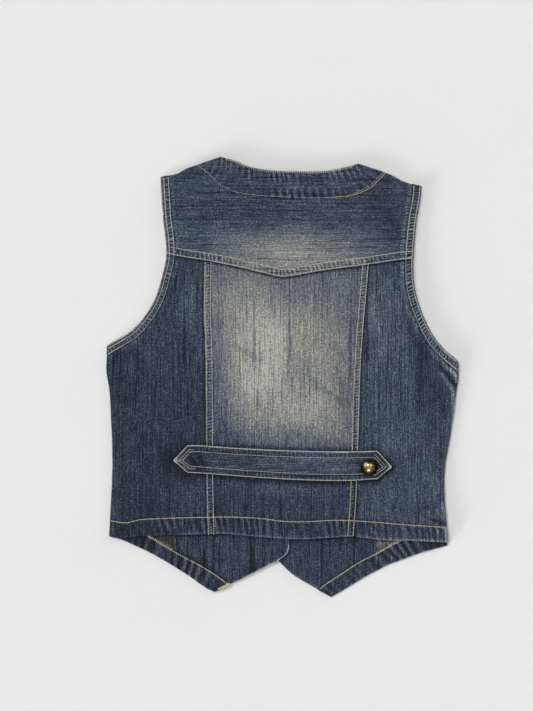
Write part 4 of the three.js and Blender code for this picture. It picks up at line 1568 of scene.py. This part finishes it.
class VEST_OT_armhole_bands(bpy.types.Operator):
    """Makes the bands of the armholes, on the back and on the fronts"""

    bl_idname = "vest.armhole_bands"
    bl_label = "Armhole bands"

    def execute(self, context):
        pitch = context.scene.vest_sizes.pitch
        for which in SIDES:
            for layer, under in (("back", back_band_under), ("front", FRONT_UNDER[which])):
                dressed(armhole_band(which, layer, under, pitch), f"armhole_band_{layer}_{which}")
        return {"FINISHED"}


class VEST_OT_fronts(bpy.types.Operator):
    """Makes the fronts, their facings and their turned hems"""

    bl_idname = "vest.fronts"
    bl_label = "Fronts"

    def execute(self, context):
        pitch = context.scene.vest_sizes.pitch
        for which in SIDES:
            shell = front(which, pitch)
            dressed(shell, f"front_{which}", finish="denim_inside")
            dressed(facing(which, pitch), f"front_facing_{which}")
            dressed(hem_turn(which, pitch), f"front_hem_turn_{which}")
        return {"FINISHED"}


class VEST_OT_half_belt(bpy.types.Operator):
    """Makes the half belt"""

    bl_idname = "vest.half_belt"
    bl_label = "Half belt"

    def execute(self, context):
        dressed(half_belt(context.scene.vest_sizes.pitch), "half_belt")
        return {"FINISHED"}


class VEST_OT_stitching(bpy.types.Operator):
    """Sews the cream and the gold rows of stitches"""

    bl_idname = "vest.stitching"
    bl_label = "Stitching"

    def execute(self, context):
        sizes = context.scene.vest_sizes
        for name, rows in (("cream_thread", cream_rows()), ("gold_thread", gold_rows())):
            piece = stitches(f"{name}_stitches", rows, sizes.thread / MM, sizes.stitch_gap / MM)
            piece.data.materials.append(finish_of(name))
            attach(piece, "root")
        return {"FINISHED"}


class VEST_OT_buttons(bpy.types.Operator):
    """Makes the button of the half belt and those of the closing"""

    bl_idname = "vest.buttons"
    bl_label = "Buttons"

    def execute(self, context):
        x, y = BELT_BUTTON
        seat = float(belt_under(np.array([x]), np.array([y]))[0]) + BELT_THICKNESS + SEAM_GAP + 0.25
        places = [("half_belt_button", x, y, seat, 1)]
        for i, y in enumerate(FRONT_BUTTON_Y, 1):
            places.append((f"front_button_{i}", FRONT_BUTTON_X, y, BUTTON_HEIGHT, -1))
        for node, *place in places:
            cap = button_cap(f"{node}_cap", *place)
            cap.data.materials.append(finish_of("brass"))
            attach(cap, "root")
            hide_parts(node)
        return {"FINISHED"}


# Lights: name, the way it shines, apparent size in degrees, strength, the one thing that it lights
LIGHTS = [
    ("large_softbox", (0.62, -0.5, -1.0), 34, 1.9, None),
    ("low_front_softbox", (1.0, 0.9, -0.17), 14, 5.0, "pale_floor"),
    ("low_rear_softbox", (-1.0, -0.8, -0.2), 16, 1.4, "pale_floor"),
    ("upper_lamp", (0.12, -0.34, -1.0), 5, 0.5, "half_belt_button_cap"),
    ("left_lamp", (-0.34, -0.3, -1.0), 5, 0.36, "half_belt_button_cap"),
    ("lower_lamp", (0.0, 0.5, -1.0), 6, 0.65, "half_belt_button_cap"),
]
ROOM_LIGHT = 0.48
CAMERA_PLACE = (-0.0184, 0.0247, 1.931)  # in metres, straight above the photo's middle


class VEST_OT_stage(bpy.types.Operator):
    """Makes the floor, the lights and the camera"""

    bl_idname = "vest.stage"
    bl_label = "Stage"

    def execute(self, context):
        scene = context.scene
        bm = bmesh.new()
        bmesh.ops.create_grid(bm, x_segments=1, y_segments=1, size=4.0)
        floor = mesh_object("pale_floor", bm)
        paint = {"Base Color": linear("#D6D6D6"), "Roughness": 0.9, "Specular IOR Level": 0.1}
        floor.data.materials.append(finished(empty_material("pale_painted_board"), paint))

        for name, way, size, strength, lit in LIGHTS:
            data = bpy.data.lights.new(name, "SUN")
            data.angle = math.radians(size)
            data.energy = strength
            lamp = bpy.data.objects.new(name, data)
            lamp.rotation_euler = Vector(way).to_track_quat("-Z", "Y").to_euler()
            scene.collection.objects.link(lamp)
            if lit:
                receiver = bpy.data.collections.new(f"lit_by_{name}")
                receiver.objects.link(bpy.data.objects[lit])
                lamp.light_linking.receiver_collection = receiver
        world = bpy.data.worlds.new("soft_room")
        world.use_nodes = True
        background = world.node_tree.nodes["Background"].inputs
        background["Color"].default_value = (1, 1, 1, 1)
        background["Strength"].default_value = ROOM_LIGHT
        scene.world = world

        data = bpy.data.cameras.new("camera_above")
        data.lens = 85
        data.sensor_width = 36
        camera = bpy.data.objects.new("camera_above", data)
        camera.location = CAMERA_PLACE
        scene.collection.objects.link(camera)
        scene.camera = camera
        scene.view_settings.view_transform = "Standard"
        scene.view_settings.look = "None"
        return {"FINISHED"}


class VEST_PT_panel(bpy.types.Panel):
    """Lists the steps that build the vest"""

    bl_idname = "VEST_PT_panel"
    bl_label = "Denim vest"
    bl_space_type = "VIEW_3D"
    bl_region_type = "UI"
    bl_category = "Vest"

    def draw(self, context):
        layout = self.layout
        for group in (context.scene.vest_sizes, context.scene.vest_colours):
            for name in group.__annotations__:
                layout.prop(group, name)
        for step in STEPS:
            layout.operator(step.bl_idname)


STEPS = (
    VEST_OT_back,
    VEST_OT_armhole_bands,
    VEST_OT_fronts,
    VEST_OT_half_belt,
    VEST_OT_stitching,
    VEST_OT_buttons,
    VEST_OT_stage,
)
CLASSES = (VestSizes, VestColours, *STEPS, VEST_PT_panel)


def register():
    """Registers the classes and the scene's settings."""
    for each in CLASSES:
        bpy.utils.register_class(each)
    bpy.types.Scene.vest_sizes = bpy.props.PointerProperty(type=VestSizes)
    bpy.types.Scene.vest_colours = bpy.props.PointerProperty(type=VestColours)


def unregister():
    """Takes them away again."""
    del bpy.types.Scene.vest_colours
    del bpy.types.Scene.vest_sizes
    for each in reversed(CLASSES):
        bpy.utils.unregister_class(each)


def main():
    """Builds everything, in order."""
    register()
    bpy.ops.vest.back()
    bpy.ops.vest.armhole_bands()
    bpy.ops.vest.fronts()
    bpy.ops.vest.half_belt()
    bpy.ops.vest.stitching()
    bpy.ops.vest.buttons()
    bpy.ops.vest.stage()


if __name__ == "__main__":
    main()
